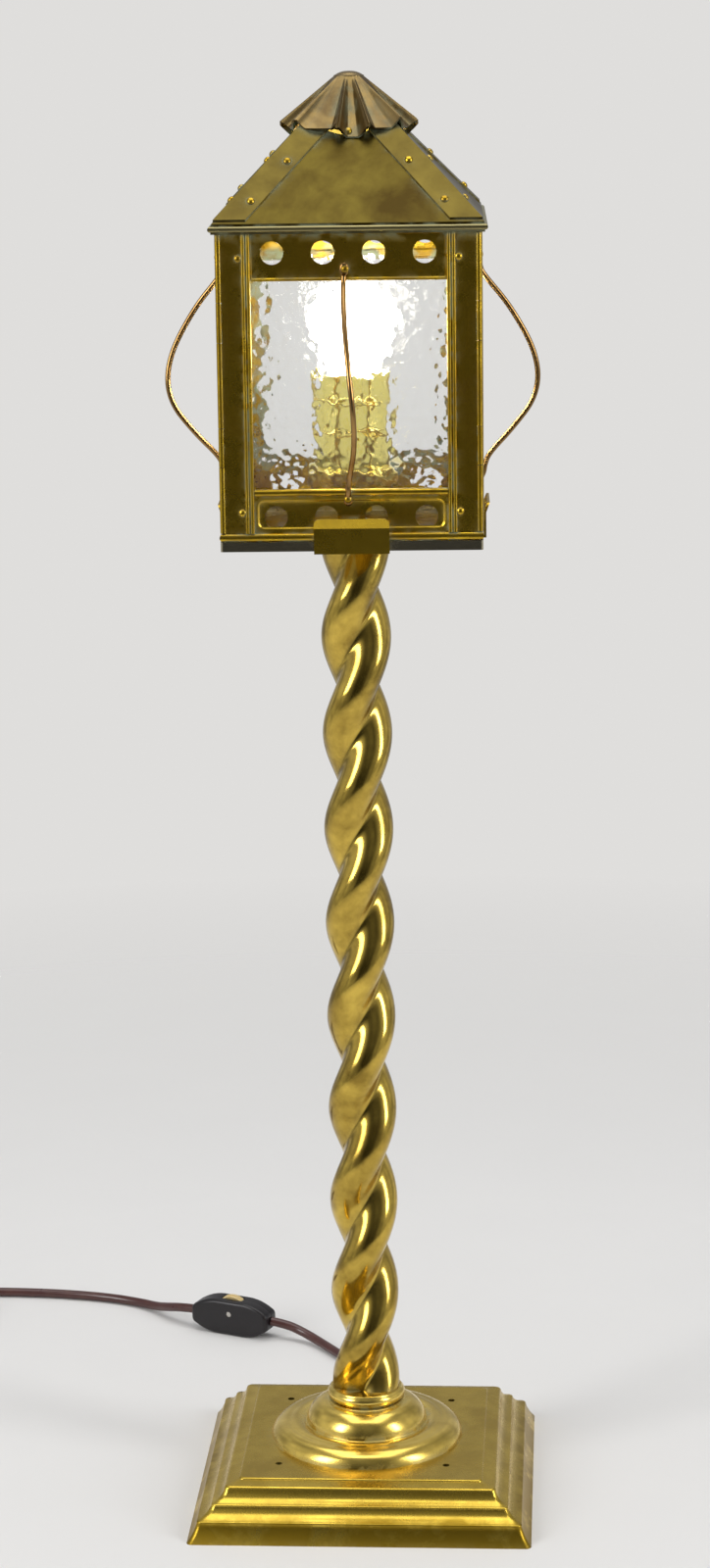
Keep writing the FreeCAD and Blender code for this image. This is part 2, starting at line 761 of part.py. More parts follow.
def lead_flex():
    points = [foot_point(0, bushing_end(), flex_exit_z)] + [vec(*p) for p in lead_route] + [switch_right]
    path, radii = round_path(points)
    print("  lead bends %s" % " ".join("%.0f" % r for r in radii))
    return swept_tube(path, flex_radius, "lead")


def tail_flex():
    end = tail_end()
    points = [switch_left] + [vec(*p) for p in tail_route] + [vec(-256.5, end.y, end.z), end]
    path, radii = round_path(points)
    print("  tail bends %s" % " ".join("%.0f" % r for r in radii))
    return swept_tube(path, flex_radius, "tail")


def coil_point(turn):
    """Point and direction of the coil's line after so many turns, wound in and out again."""
    layer = (coil_turns - 0.5) / 2
    radius = coil_outer() - coil_step * min(turn, coil_turns - turn)
    share = min(max((turn - layer) / 0.5, 0.0), 1.0)
    rise = coil_step * (1 - cos(pi * share)) / 2
    angle = pi / 2 + 2 * pi * turn
    slope = -coil_step if turn < coil_turns / 2 else coil_step
    if abs(turn - coil_turns / 2) < 1e-6:
        slope = 0.0
    rate = coil_step * pi * sin(pi * share) / 2 / 0.5
    point = vec(coil_centre[0] + radius * cos(angle), coil_centre[1] + radius * sin(angle),
                flex_floor_z + rise)
    along = vec(slope * cos(angle) - 2 * pi * radius * sin(angle),
                slope * sin(angle) + 2 * pi * radius * cos(angle), rate)
    return point, along.normalize()


def biarc(p, t, q, u):
    """Two arcs that leave p along t and reach q along u."""
    v = q - p
    s = t + u
    a = 2 * (1 - t.dot(u))
    b = 2 * v.dot(s)
    d = (-b + (b * b + 4 * a * v.dot(v)) ** 0.5) / (2 * a)
    left, right = p + t * d, q - u * d
    join = (left + right) * 0.5
    edges = []
    for start, corner, end in ((p, left, join), (join, right, q)):
        back = (start - corner).normalize() + (end - corner).normalize()
        half = (end - start).getAngle(corner - start)
        chord = (end - start).Length
        middle = (start + end) * 0.5 - back.normalize() * (chord / 2 * tan(half / 2))
        edges.append(Part.Arc(start, middle, end).toShape())
    return edges


def coil_flex():
    """Put-away length: two layers, wound in below and out above, as one tube."""
    stations = [0.25 * k for k in range(int(coil_turns * 4) + 1)]
    half_turns = (coil_turns - 0.5) / 2
    stations = sorted(set(stations + [half_turns, half_turns + 0.25, half_turns + 0.5]))
    stations = [s for k, s in enumerate(stations) if k == 0 or s - stations[k - 1] > 0.05]
    ends = [coil_point(s) for s in stations]
    first, last = tail_end(), ends[-1][0]
    ends[0] = (ends[0][0], vec(-1, 0, 0))
    ends[-1] = (last, vec(0, -1, 0))
    edges = [Part.LineSegment(first, ends[0][0]).toShape()]
    for (p, t), (q, u) in zip(ends, ends[1:]):
        edges += biarc(p, t, q, u)
    edges.append(Part.LineSegment(last, last + vec(0, -flex_diameter, 0)).toShape())
    path = Part.Wire(edges)
    samples = path.discretize(Distance=2.0)
    skip = int(2 * flex_diameter * pi / 2)
    gap = min(samples[i].distanceToPoint(samples[j]) for i in range(len(samples))
              for j in range(i + skip, len(samples))) - flex_diameter
    print("  coil least gap to itself %.2f" % gap)
    return swept_tube(path, flex_radius, "coil")


def coil_leaves():
    point = coil_point(coil_turns)[0]
    return point + vec(0, -flex_diameter, 0)


def end_flex():
    start, end = coil_leaves(), plug_entry()
    points = [start, start + vec(0, -11.5, 0), vec(end.x, end.y + 12.0, end.z), end]
    path, radii = round_path(points)
    print("  end bends %s" % " ".join("%.0f" % r for r in radii))
    return swept_tube(path, flex_radius, "end")


# --- switch and plug ------------------------------------------------------------------------------
def switch_placed(shape):
    along = switch_left - switch_right
    copy = shape.copy()
    copy.rotate(origin, up, degrees(atan2(along.y, along.x)))
    copy.translate((switch_right + switch_left) * 0.5)
    return copy


def switch_block():
    """Torpedo body of the switch, lying on its narrow edge, with the ends drawn in."""
    length, height = (switch_left - switch_right).Length, switch_height
    x, z = length / 2, height / 2

    def place(a, b):
        return vec(a, -switch_thickness / 2, b)

    outline = [(-x, -4.2), ((-x * 0.72, -z * 0.82), (-x * 0.34, -z)), (x * 0.34, -z),
               ((x * 0.72, -z * 0.82), (x, -4.2)), (x, 4.2), ((x * 0.72, z * 0.82), (x * 0.34, z)),
               (-x * 0.34, z), ((-x * 0.72, z * 0.82), (-x, 4.2))]
    block = face(outline, place).extrude(vec(0, switch_thickness, 0))
    pocket_gap = 0.4
    axle = vec(0, -switch_thickness, switch_wheel_rise)
    wheel_room = cylinder(switch_wheel_radius + pocket_gap, switch_wheel_width + 2 * pocket_gap,
                          vec(0, -switch_wheel_width / 2 - pocket_gap, switch_wheel_rise), vec(0, 1, 0))
    screw_hole = cylinder(switch_screw_radius, 2 * switch_thickness, axle, vec(0, 1, 0))
    return block.cut([wheel_room, screw_hole])


def switch_half(sign):
    reach = switch_length
    low = (-reach, 0 if sign > 0 else -reach, -reach)
    high = (reach, reach if sign > 0 else 0, reach)
    return switch_placed(switch_block().common(box(low, high)))


def switch_wheel():
    """Ribbed thumb wheel that turns on the case screw."""
    teeth = 20
    rim = switch_wheel_radius
    points = []
    for k in range(teeth):
        a = 2 * pi * k / teeth
        b = a + pi / teeth
        points += [vec(rim * sin(a), -switch_wheel_width / 2, rim * cos(a)),
                   vec((rim - 0.7) * sin(b), -switch_wheel_width / 2, (rim - 0.7) * cos(b))]
    wheel = Part.Face(Part.makePolygon(points + points[:1])).extrude(vec(0, switch_wheel_width, 0))
    bore = cylinder(switch_screw_radius + 0.05, switch_wheel_width + 2,
                    vec(0, -switch_wheel_width / 2 - 1, 0), vec(0, 1, 0))
    wheel = wheel.cut(bore)
    wheel.translate(vec(0, 0, switch_wheel_rise))
    return switch_placed(wheel)


def switch_screw():
    screw = cylinder(switch_screw_radius, switch_thickness - 1.0,
                     vec(0, -switch_thickness / 2 + 0.5, switch_wheel_rise), vec(0, 1, 0))
    return switch_placed(screw)


def plug_body():
    """Moulded two-pin plug: a short neck on the flex and a body that widens to the face."""
    entry = plug_entry()
    w, h = plug_width / 2, plug_height / 2

    def place(a, b):
        return vec(entry.x + a, entry.y - b, entry.z - h)

    outline = [(-4.0, 0), (4.0, 0), ((w * 0.8, 5.5), (w, 15.0)), (w, plug_length), (-w, plug_length),
               (-w, 15.0), ((-w * 0.8, 5.5), (-4.0, 0))]
    edges = curve(outline, place)
    body = Part.Face(Part.Wire(edges)).extrude(vec(0, 0, plug_height))
    rims = [e for e in body.Edges if e.BoundBox.ZLength < 0.01]
    return body.makeFillet(plug_edge, rims)


def plug_blades():
    entry = plug_entry()
    blades = []
    for sign in (-1, 1):
        x = entry.x + sign * blade_spacing / 2
        y = entry.y - plug_length
        blades.append(box((x - blade_thickness / 2, y - blade_length, entry.z - blade_width / 2),
                          (x + blade_thickness / 2, y, entry.z + blade_width / 2)))
    return Part.makeCompound(blades)


def main():
    os.makedirs("parts", exist_ok=True)
    save("foot_shell", foot_turned(foot()))
    save("foot_pad", foot_turned(foot_pad()))
    save("foot_weight", foot_turned(foot_weight()))
    save("foot_boss", boss())
    save("column_collar", collar())
    save("twist_column", column())
    save("clamp_tube", clamp_tube())
    save("foot_nut", foot_nut())
    save("foot_washer", foot_washer())
    save("clip_cradle", cradle())
    save("floor_tray", tray())
    save("lock_nut", drilled_nut(lock_nut_z))
    wall = {"rails": rails(), "glass": pane()}
    for side, number in sides.items():
        save("wall_%s_stiles" % side, around(stiles(number), side))
        save("wall_%s_rails" % side, around(wall["rails"], side))
        save("wall_%s_glass" % side, around(wall["glass"], side))
        save("guard_%s" % side, around(guard(side), side))
        save("roof_%s" % side, around(roof_face(), side))
    save("corner_pins", corner_pins())
    save("hip_strips", hip_strips())
    save("eave_bead", eave())
    save("vent_cap", vent_cap())
    save("holder_cap", holder_cap())
    save("holder_shell", holder_shell())
    save("holder_insulator", holder_insulator())
    save("thread_shell", thread_shell())
    save("centre_contact", centre_contact())
    save("bulb_cap", bulb_cap())
    save("bulb_glass", bulb_glass())
    save("flex_bushing", foot_turned(bushing()))
    save("flex_inner", foot_turned(inner_flex()))
    save("flex_lead", lead_flex())
    save("switch_front", switch_half(-1))
    save("switch_back", switch_half(1))
    save("switch_wheel", switch_wheel())
    save("switch_screw", switch_screw())
    save("flex_tail", tail_flex())
    save("flex_coil", coil_flex())
    save("flex_end", end_flex())
    save("plug_body", plug_body())
    save("plug_blades", plug_blades())


main()
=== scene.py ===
import bmesh
import bpy
import json
import math
from math import cos, pi, radians, sin
from mathutils import Matrix, Vector
from mathutils.geometry import delaunay_2d_cdt

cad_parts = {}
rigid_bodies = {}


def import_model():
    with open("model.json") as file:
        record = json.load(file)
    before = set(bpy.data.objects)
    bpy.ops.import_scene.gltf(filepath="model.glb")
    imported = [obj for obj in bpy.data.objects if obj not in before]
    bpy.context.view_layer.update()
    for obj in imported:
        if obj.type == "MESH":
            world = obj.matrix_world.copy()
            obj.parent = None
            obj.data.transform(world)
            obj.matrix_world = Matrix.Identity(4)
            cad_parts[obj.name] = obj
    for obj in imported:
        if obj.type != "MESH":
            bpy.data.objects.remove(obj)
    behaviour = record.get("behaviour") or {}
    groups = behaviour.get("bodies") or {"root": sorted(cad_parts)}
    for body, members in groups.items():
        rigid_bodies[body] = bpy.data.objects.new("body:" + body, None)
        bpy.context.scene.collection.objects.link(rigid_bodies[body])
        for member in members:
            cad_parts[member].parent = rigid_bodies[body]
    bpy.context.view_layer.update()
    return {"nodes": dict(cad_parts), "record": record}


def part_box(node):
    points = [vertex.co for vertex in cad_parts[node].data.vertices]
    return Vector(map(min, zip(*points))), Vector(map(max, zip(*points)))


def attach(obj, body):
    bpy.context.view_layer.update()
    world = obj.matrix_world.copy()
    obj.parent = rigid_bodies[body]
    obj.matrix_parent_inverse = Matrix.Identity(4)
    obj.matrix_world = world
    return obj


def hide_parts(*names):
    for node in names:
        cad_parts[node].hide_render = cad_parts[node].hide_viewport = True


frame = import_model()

bl_info = {
    "name": "Lantern table lamp",
    "version": (1, 0, 0),
    "blender": (4, 5, 0),
    "location": "3D View > Sidebar > Lantern lamp",
    "description": "Dresses the brass lantern lamp: foot, twisted column, glazed lantern, flex and studio",
    "category": "Object",
}

MM = 0.001
SIDES = {"front": 0, "right": 90, "back": 180, "left": 270}     # degrees round from the front


def top_of(node):
    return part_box(node)[1][2] / MM


def foot_of(node):
    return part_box(node)[0][2] / MM


# --- sizes and colours that a user would change ---
def length(name, description, millimetres):
    return bpy.props.FloatProperty(name=name, description=description, default=millimetres * MM,
                                   subtype="DISTANCE")


def tint(name, description, default):
    return bpy.props.FloatVectorProperty(name=name, description=description, default=default,
                                         subtype="COLOR")


class LampSizes(bpy.types.PropertyGroup):
    """Sizes of the dressed pieces"""
    foot_turn: bpy.props.FloatProperty(
        name="Foot turn", description="Turn of the foot about the column", default=radians(-2.06),
        subtype="ANGLE")
    strand_width: length("Strand width", "Width of the column across both strands", 34.8)
    waist_width: length("Waist width", "Width of the column across the hollow", 21.1)
    twist_pitch: length("Twist pitch", "Height of one full turn of the strands", 99.7)
    lowest_bulge: length(
        "Lowest bulge", "Height above the column's foot where the strands lie side by side", 3.4)
    flex_diameter: length("Flex diameter", "Outer diameter of the flex", 5.2)


class LampColours(bpy.types.PropertyGroup):
    """Base colours of the finishes"""
    polished: tint("Polished brass", "Colour of the column", (0.70, 0.49, 0.085))
    spun: tint("Spun brass", "Colour of the boss and collar", (0.94, 0.68, 0.15))
    satin: tint("Satin brass", "Colour of the foot", (0.70, 0.49, 0.07))
    aged: tint("Aged brass", "Colour of the lantern's walls", (0.64, 0.42, 0.032))
    roof: tint("Roof brass", "Colour of the roof", (0.118, 0.088, 0.016))
    strip: tint("Strip brass", "Colour of the strips over the hips", (0.15, 0.112, 0.024))
    cap: tint("Cap brass", "Colour of the vent cap", (0.25, 0.175, 0.065))
    verdigris: tint("Verdigris", "Pale green bloom in the joints", (0.30, 0.34, 0.22))
    flex: tint("Flex", "Colour of the flex", (0.060, 0.016, 0.013))
    switch: tint("Switch", "Colour of the switch body", (0.005, 0.003, 0.004))
    wheel: tint("Thumb wheel", "Colour of the thumb wheel", (0.72, 0.55, 0.25))
    floor: tint("Floor", "Colour of the floor and backdrop", (0.80, 0.79, 0.775))


def sizes():
    return bpy.context.scene.lamp_sizes


def colours():
    return bpy.context.scene.lamp_colours


# --- node helpers ---
def feed(sockets, values):
    """Wire other nodes' outputs into the named sockets, or set the sockets to constants."""
    for name, value in values.items():
        if isinstance(value, bpy.types.NodeSocket):
            value.id_data.links.new(value, sockets[name])
        else:
            sockets[name].default_value = value


def add(tree, kind, inputs=None, **settings):
    node = tree.nodes.new(kind)
    for key, value in settings.items():
        setattr(node, key, value)
    feed(node.inputs, inputs or {})
    return node


def group_sockets(tree, in_out, kinds):
    """Give a group its sockets, and add the node that has them inside the group."""
    for name, kind in kinds.items():
        tree.interface.new_socket(name, in_out=in_out, socket_type="NodeSocket" + kind)
    if in_out == "INPUT":
        return add(tree, "NodeGroupInput").outputs
    return add(tree, "NodeGroupOutput").inputs


def object_place(tree):
    return add(tree, "ShaderNodeTexCoord").outputs["Object"]


def noise(vector, scale, detail=4.0, rough=0.55, distortion=0.0):
    return add(vector.id_data, "ShaderNodeTexNoise", {
        "Vector": vector, "Scale": scale, "Detail": detail, "Roughness": rough,
        "Distortion": distortion}).outputs["Fac"]


def spread(value, low, high, out_low=0.0, out_high=1.0):
    return add(value.id_data, "ShaderNodeMapRange", {
        "Value": value, "From Min": low, "From Max": high, "To Min": out_low,
        "To Max": out_high}).outputs["Result"]


def combine(operation, a, b):
    return add(a.id_data, "ShaderNodeMath", {0: a, 1: b}, operation=operation).outputs[0]


def plus(a, b):
    return combine("ADD", a, b)


def times(a, b):
    return combine("MULTIPLY", a, b)


def blend(factor, a, b, kind="RGBA"):
    return add(factor.id_data, "ShaderNodeMix", {"Factor": factor, "A": a, "B": b},
               data_type=kind).outputs["Result"]


def rgba(colour, gain=1.0):
    return tuple(min(c * gain, 1.0) for c in colour) + (1.0,)


# --- finishes ---
def brass_group():
    """Brass that has aged: cloudy tarnish, darker in the hollows from tarnish and painted shade, pale green
    bloom in the joints, fine rub marks.
    """
    tree = bpy.data.node_groups.new("aged_brass_surface", "ShaderNodeTree")
    given = group_sockets(tree, "INPUT", {
        "Clean": "Color", "Tarnish": "Color", "Bloom": "Color", "Tarnish Amount": "Float",
        "Bloom Amount": "Float", "Smooth": "Float", "Rough": "Float", "Scale": "Float"})
    result = group_sockets(tree, "OUTPUT", {"Color": "Color", "Roughness": "Float",
                                            "Metallic": "Float", "Height": "Float"})
    place = add(tree, "ShaderNodeVectorMath", {0: object_place(tree), "Scale": given["Scale"]},
                operation="SCALE").outputs[0]
    cloud = noise(place, 28.0, 6.0, 0.62, 0.6)
    patch = noise(place, 95.0, 5.0, 0.6, 0.3)
    grain = noise(place, 900.0, 3.0, 0.6)
    openness = add(tree, "ShaderNodeAmbientOcclusion", {"Distance": 5.0 * MM}, samples=6).outputs["AO"]
    mottle = spread(plus(times(cloud, 0.6), times(patch, 0.4)), 0.38, 0.62)
    # hollows darkened by ambient occlusion within 5 mm: partly tarnish, partly painted shade
    hollow_tarnish_and_shade = times(spread(openness, 0.85, 0.35), 0.85)
    # this tarnish mask also carries the painted shade of the hollows
    tarnish = combine("MAXIMUM", times(mottle, given["Tarnish Amount"]), hollow_tarnish_and_shade)
    near_joint = spread(openness, 0.94, 0.55)
    bloom = times(times(spread(patch, 0.42, 0.56), near_joint), given["Bloom Amount"])
    rough = plus(blend(tarnish, given["Smooth"], given["Rough"], "FLOAT"), times(bloom, 0.35))
    feed(result, {
        "Color": blend(bloom, blend(tarnish, given["Clean"], given["Tarnish"]), given["Bloom"]),
        "Roughness": plus(rough, spread(grain, 0.3, 0.7, -0.012, 0.012)),
        "Metallic": spread(bloom, 0.0, 1.0, 1.0, 0.15),
        "Height": plus(noise(place, 45.0, 1.5, 0.4), times(noise(place, 190.0, 1.0, 0.4), 0.12))})
    return tree


def moulded_group():
    """Moulded plastic, rubber or felt: slight clouding of the colour and a fine grain."""
    tree = bpy.data.node_groups.new("moulded_surface", "ShaderNodeTree")
    given = group_sockets(tree, "INPUT", {"Tint": "Color", "Worn": "Color", "Roughness": "Float"})
    result = group_sockets(tree, "OUTPUT", {"Color": "Color", "Roughness": "Float", "Height": "Float"})
    place = object_place(tree)
    cloud = noise(place, 120.0, 4.0, 0.6)
    feed(result, {
        "Color": blend(spread(cloud, 0.45, 0.75), given["Tint"], given["Worn"]),
        "Roughness": plus(given["Roughness"], spread(cloud, 0.3, 0.7, -0.06, 0.06)),
        "Height": noise(place, 1800.0, 2.0, 0.5)})
    return tree


def new_material(name):
    material = bpy.data.materials.new(name)
    material.use_nodes = True
    return material, material.node_tree, material.node_tree.nodes["Principled BSDF"].inputs


def relief(height, strength, distance):
    return add(height.id_data, "ShaderNodeBump", {"Height": height, "Strength": strength,
                                                  "Distance": distance}).outputs["Normal"]


def grouped_material(name, group, values, settings, strength, distance):
    """Material whose group gives the shader its colour, its roughness and its relief."""
    material, tree, shader = new_material(name)
    surface = add(tree, "ShaderNodeGroup", node_tree=group)
    feed(surface.inputs, values)
    made = surface.outputs
    feed(shader, {"Base Color": made["Color"], "Roughness": made["Roughness"], **settings,
                  "Normal": relief(made["Height"], strength, distance)})
    if "Metallic" in made:
        feed(shader, {"Metallic": made["Metallic"]})
    return material


def brass(name, group, clean, tarnish, amount, bloom, smooth, rough, wave):
    values = {"Clean": rgba(clean), "Tarnish": rgba(tarnish), "Bloom": rgba(colours().verdigris),
              "Tarnish Amount": amount, "Bloom Amount": bloom, "Smooth": smooth, "Rough": rough,
              "Scale": CLOUD_SCALES.get(name, 1.0)}
    lacquer = {"Coat Weight": LACQUERS.get(name, 0.0), "Coat Roughness": 0.14}
    return grouped_material(name, group, values, lacquer, wave, 2.0 * MM)


def moulded(name, group, fresh, worn, rough, coat, grain):
    values = {"Tint": rgba(fresh), "Worn": rgba(worn), "Roughness": rough}
    return grouped_material(name, group, values, {"Coat Weight": coat}, grain, 0.05 * MM)


def shade_lowest_step(material):
    """Painted shade: more tarnish towards the floor, darkening the lowest step of the foot."""
    tree = material.node_tree
    surface = next(node for node in tree.nodes if node.type == "GROUP").inputs
    height = add(tree, "ShaderNodeSeparateXYZ", {0: object_place(tree)}).outputs["Z"]
    amount = surface["Tarnish Amount"].default_value
    feed(surface, {"Tarnish Amount": spread(height, 12.5 * MM, 9.0 * MM, amount, amount + 1.2)})


def hammered_glass():
    """Clear glass with a rolled hammered face: cells of uneven size."""
    material, tree, shader = new_material("hammered_glass")
    place = object_place(tree)
    cell = add(tree, "ShaderNodeTexVoronoi", {"Vector": place, "Scale": 215.0, "Smoothness": 0.6},
               feature="SMOOTH_F1")
    ripple = noise(place, 70.0, 4.0, 0.55, 0.4)
    height = plus(cell.outputs["Distance"], times(ripple, 0.6))
    feed(shader, {"Base Color": (0.985, 0.99, 0.985, 1), "Transmission Weight": 1.0, "IOR": 1.5,
                  "Roughness": spread(ripple, 0.3, 0.7, 0.0, 0.10),
                  "Normal": relief(height, 0.5, 0.85 * MM)})
    return material


def lit_bulb():
    """Frosted bulb that is alight."""
    material, tree, shader = new_material("bulb_glass")
    cloud = noise(object_place(tree), 60.0, 2.0)
    glow = blend(cloud, (1.0, 0.97, 0.90, 1), (1.0, 0.93, 0.80, 1))
    feed(shader, {"Base Color": glow, "Emission Color": glow, "Emission Strength": 55.0,
                  "Roughness": 0.4})
    return material


LACQUERS = {"polished_brass": 0.2, "spun_brass": 0.15, "satin_brass": 0.05}
CLOUD_SCALES = {"roof_brass": 0.6, "strip_brass": 0.7}
MATERIALS = {}


def make_materials():
    metal, soft, tone = brass_group(), moulded_group(), colours()
    # clean and tarnished colour (the tarnished one is also the painted shade in hollows), share of tarnish
    # and of bloom, roughness of both, depth of the waves
    brasses = {
        "polished_brass": (tone.polished, (0.24, 0.15, 0.02), 0.85, 0.35, 0.11, 0.22, 0.16),
        "spun_brass": (tone.spun, (0.50, 0.34, 0.05), 0.6, 0.6, 0.19, 0.28, 0.08),
        "satin_brass": (tone.satin, (0.36, 0.23, 0.018), 0.6, 0.3, 0.24, 0.34, 0.10),
        "antique_brass": (tone.aged, (0.25, 0.14, 0.012), 0.85, 1.0, 0.24, 0.40, 0.55),
        "clip_brass": (tone.aged, (0.42, 0.28, 0.03), 0.6, 0.3, 0.25, 0.36, 0.3),
        # tray paled towards white: painted light from the bulb over its brass
        "tray_brass_bulb_lit": ((0.70, 0.63, 0.44), (0.20, 0.165, 0.095), 0.7, 0.2, 0.14, 0.34, 0.3),
        "roof_brass": (tone.roof, (0.05, 0.030, 0.006), 0.85, 1.0, 0.30, 0.46, 0.22),
        "strip_brass": (tone.strip, (0.07, 0.048, 0.012), 0.7, 0.8, 0.28, 0.42, 0.22),
        "eave_brass": ((0.34, 0.29, 0.13), (0.16, 0.14, 0.07), 0.5, 1.0, 0.30, 0.42, 0.2),
        "cap_brass": (tone.cap, (0.085, 0.055, 0.024), 0.8, 1.0, 0.26, 0.42, 0.25),
        "guard_wire": ((0.42, 0.25, 0.09), (0.16, 0.08, 0.02), 0.6, 0.0, 0.20, 0.32, 0.10),
        "holder_brass": ((0.95, 0.84, 0.27), (0.76, 0.61, 0.15), 0.3, 0.0, 0.16, 0.25, 0.05),
        "steel": ((0.55, 0.55, 0.53), (0.30, 0.29, 0.27), 0.5, 0.0, 0.25, 0.4, 0.05),
        "screw_metal": ((0.55, 0.52, 0.48), (0.30, 0.28, 0.25), 0.4, 0.0, 0.3, 0.4, 0.05),
    }
    # fresh and worn colour, roughness, gloss coat, depth of the grain
    mouldings = {
        "cast_iron": ((0.03, 0.03, 0.032), (0.06, 0.055, 0.05), 0.7, 0.0, 1.0),
        "felt": ((0.02, 0.045, 0.02), (0.04, 0.07, 0.035), 0.95, 0.0, 0.8),
        "insulator": ((0.80, 0.78, 0.72), (0.7, 0.66, 0.6), 0.25, 0.5, 0.15),
        "brown_flex": (tone.flex, (0.085, 0.028, 0.021), 0.33, 0.25, 0.15),
        "switch_plastic": (tone.switch, (0.009, 0.006, 0.008), 0.36, 0.0, 0.15),
        "wheel_plastic": (tone.wheel, (0.80, 0.66, 0.36), 0.38, 0.3, 0.15),
        "plug_plastic": ((0.06, 0.028, 0.02), (0.09, 0.045, 0.033), 0.45, 0.0, 0.15),
    }
    MATERIALS.update({name: brass(name, metal, *row) for name, row in brasses.items()})
    MATERIALS.update({name: moulded(name, soft, *row) for name, row in mouldings.items()})
    MATERIALS.update(hammered_glass=hammered_glass(), bulb_glass=lit_bulb())
    # painted shade on the foot's lowest step
    shade_lowest_step(MATERIALS["satin_brass"])


# --- mesh helpers ---
def metres(point):
    return tuple(c * MM for c in point)


def arc_points(start, middle, end, steps):
    """Points on the circle through three plane points, after the first."""
    a, b, c = complex(*start), complex(*middle), complex(*end)
    w = (c - a) / (b - a)
    centre = a + (b - a) * (w - abs(w) ** 2) / (w - w.conjugate())
    halfway, turn = (math.atan2(v.imag, v.real) % (2 * pi)
                     for v in ((b - centre) / (a - centre), (c - centre) / (a - centre)))
    if halfway > turn:
        turn -= 2 * pi
    spots = [centre + (a - centre) * complex(cos(turn * k / steps), sin(turn * k / steps))
             for k in range(1, steps + 1)]
    return [(spot.real, spot.imag) for spot in spots]


def outline(items, steps=6):
    """Plane points: a point is a straight run, a pair (middle, end) is an arc."""
    points = [items[0]]
    for item in items[1:]:
        if isinstance(item[0], tuple):
            points += arc_points(points[-1], item[0], item[1], steps)
        else:
            points.append(item)
    return points


def mirrored(points, along, across):
    """The points, and then the same ones run backwards with their signs changed."""
    return points + [(a * along, b * across) for a, b in reversed(points)]


def circle(x, y, radius, count=28):
    return [(x + radius * cos(2 * pi * k / count), y + radius * sin(2 * pi * k / count))
            for k in range(count)]


def rounded_box(x0, y0, x1, y1, radius, steps=5):
    """Corners of a rectangle as arcs, from the lower right corner anticlockwise."""
    ring = []
    for cx, cy, start in ((x1 - radius, y0 + radius, -90), (x1 - radius, y1 - radius, 0),
                          (x0 + radius, y1 - radius, 90), (x0 + radius, y0 + radius, 180)):
        ring += [(cx + radius * cos(radians(start + 90 * k / steps)),
                  cy + radius * sin(radians(start + 90 * k / steps))) for k in range(steps + 1)]
    return ring


def ring_faces(rows, count):
    """Quads between rows of points that each go once round."""
    return [(r * count + k, r * count + (k + 1) % count, (r + 1) * count + (k + 1) % count,
             (r + 1) * count + k) for r in range(rows - 1) for k in range(count)]


def lathed(points, segments):
    """Points (radius, height) turned about an upright axis; a closed outline gives a closed solid."""
    verts = [(r * cos(2 * pi * k / segments), r * sin(2 * pi * k / segments), z)
             for r, z in points for k in range(segments)]
    return verts, ring_faces(len(points), segments)


def turned(mesh, degrees_round):
    c, s = cos(radians(degrees_round)), sin(radians(degrees_round))
    verts, faces = mesh
    return [(x * c - y * s, x * s + y * c, z) for x, y, z in verts], faces


def joined(meshes):
    verts, faces = [], []
    for some_verts, some_faces in meshes:
        base = len(verts)
        verts += some_verts
        faces += [tuple(base + i for i in face) for face in some_faces]
    return verts, faces


def inside(ring, x, y):
    hit = False
    for (ax, ay), (bx, by) in zip(ring, ring[1:] + ring[:1]):
        if (ay > y) != (by > y) and x < ax + (y - ay) * (bx - ax) / (by - ay):
            hit = not hit
    return hit


def flat_fill(outer, holes):
    """Triangles of a flat region between an outer ring and its holes, all as plane points."""
    points, edges = [], []
    for ring in [outer, *holes]:
        base = len(points)
        points += [Vector(p) for p in ring]
        edges += [(base + k, base + (k + 1) % len(ring)) for k in range(len(ring))]
    result = delaunay_2d_cdt(points, edges, [], 2, 1e-6)
    spots = [(p[0], p[1]) for p in result[0]]
    keep = []
    for triangle in result[2]:
        x = sum(spots[i][0] for i in triangle) / len(triangle)
        y = sum(spots[i][1] for i in triangle) / len(triangle)
        if not any(inside(ring, x, y) for ring in holes):
            keep.append(tuple(triangle))
    return spots, keep


def edit(mesh, change):
    """Change a mesh through bmesh."""
    shape = bmesh.new()
    shape.from_mesh(mesh)
    change(shape)
    shape.to_mesh(mesh)
    shape.free()


def shade(shape, hard=35.0):
    """Smooth between faces, except across edges sharper than the angle."""
    for edge in shape.edges:
        edge.smooth = len(edge.link_faces) != 2 or edge.calc_face_angle(0) < radians(hard)
    for face in shape.faces:
        face.smooth = True


def put(name, data):
    obj = bpy.data.objects.new(name, data)
    bpy.context.scene.collection.objects.link(obj)
    return obj


def dress(obj, slot, body, finish=None):
    """Give a piece its body and its finish, which is the slot's unless another is named."""
    obj.data.materials.clear()
    obj.data.materials.append(MATERIALS[finish or slot])
    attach(obj, body)
    return obj


def mesh_piece(name, mesh, slot, body, hard=35.0, finish=None):
    """Piece from points in millimetres and their faces."""
    verts, faces = mesh
    data = bpy.data.meshes.new(name)
    data.from_pydata([metres(v) for v in verts], [], faces)

    def clean(shape):
        bmesh.ops.remove_doubles(shape, verts=shape.verts, dist=0.002 * MM)
        bmesh.ops.dissolve_degenerate(shape, edges=shape.edges, dist=0.001 * MM)
        bmesh.ops.recalc_face_normals(shape, faces=shape.faces)
        shade(shape, hard)

    edit(data, clean)
    return dress(put(name, data), slot, body, finish)


def evaluated(obj):
    return bpy.data.meshes.new_from_object(obj.evaluated_get(bpy.context.evaluated_depsgraph_get()))


def keep_modifiers(obj):
    mesh = evaluated(obj)
    obj.modifiers.clear()
    obj.data = mesh


def look_outwards(shape):
    """Turn an open sheet's faces round if its outermost face looks towards the lamp's axis."""
    face = max(shape.faces, key=lambda f: f.calc_center_median().xy.length)
    if face.normal.xy.dot(face.calc_center_median().xy) < 0:
        bmesh.ops.reverse_faces(shape, faces=shape.faces)


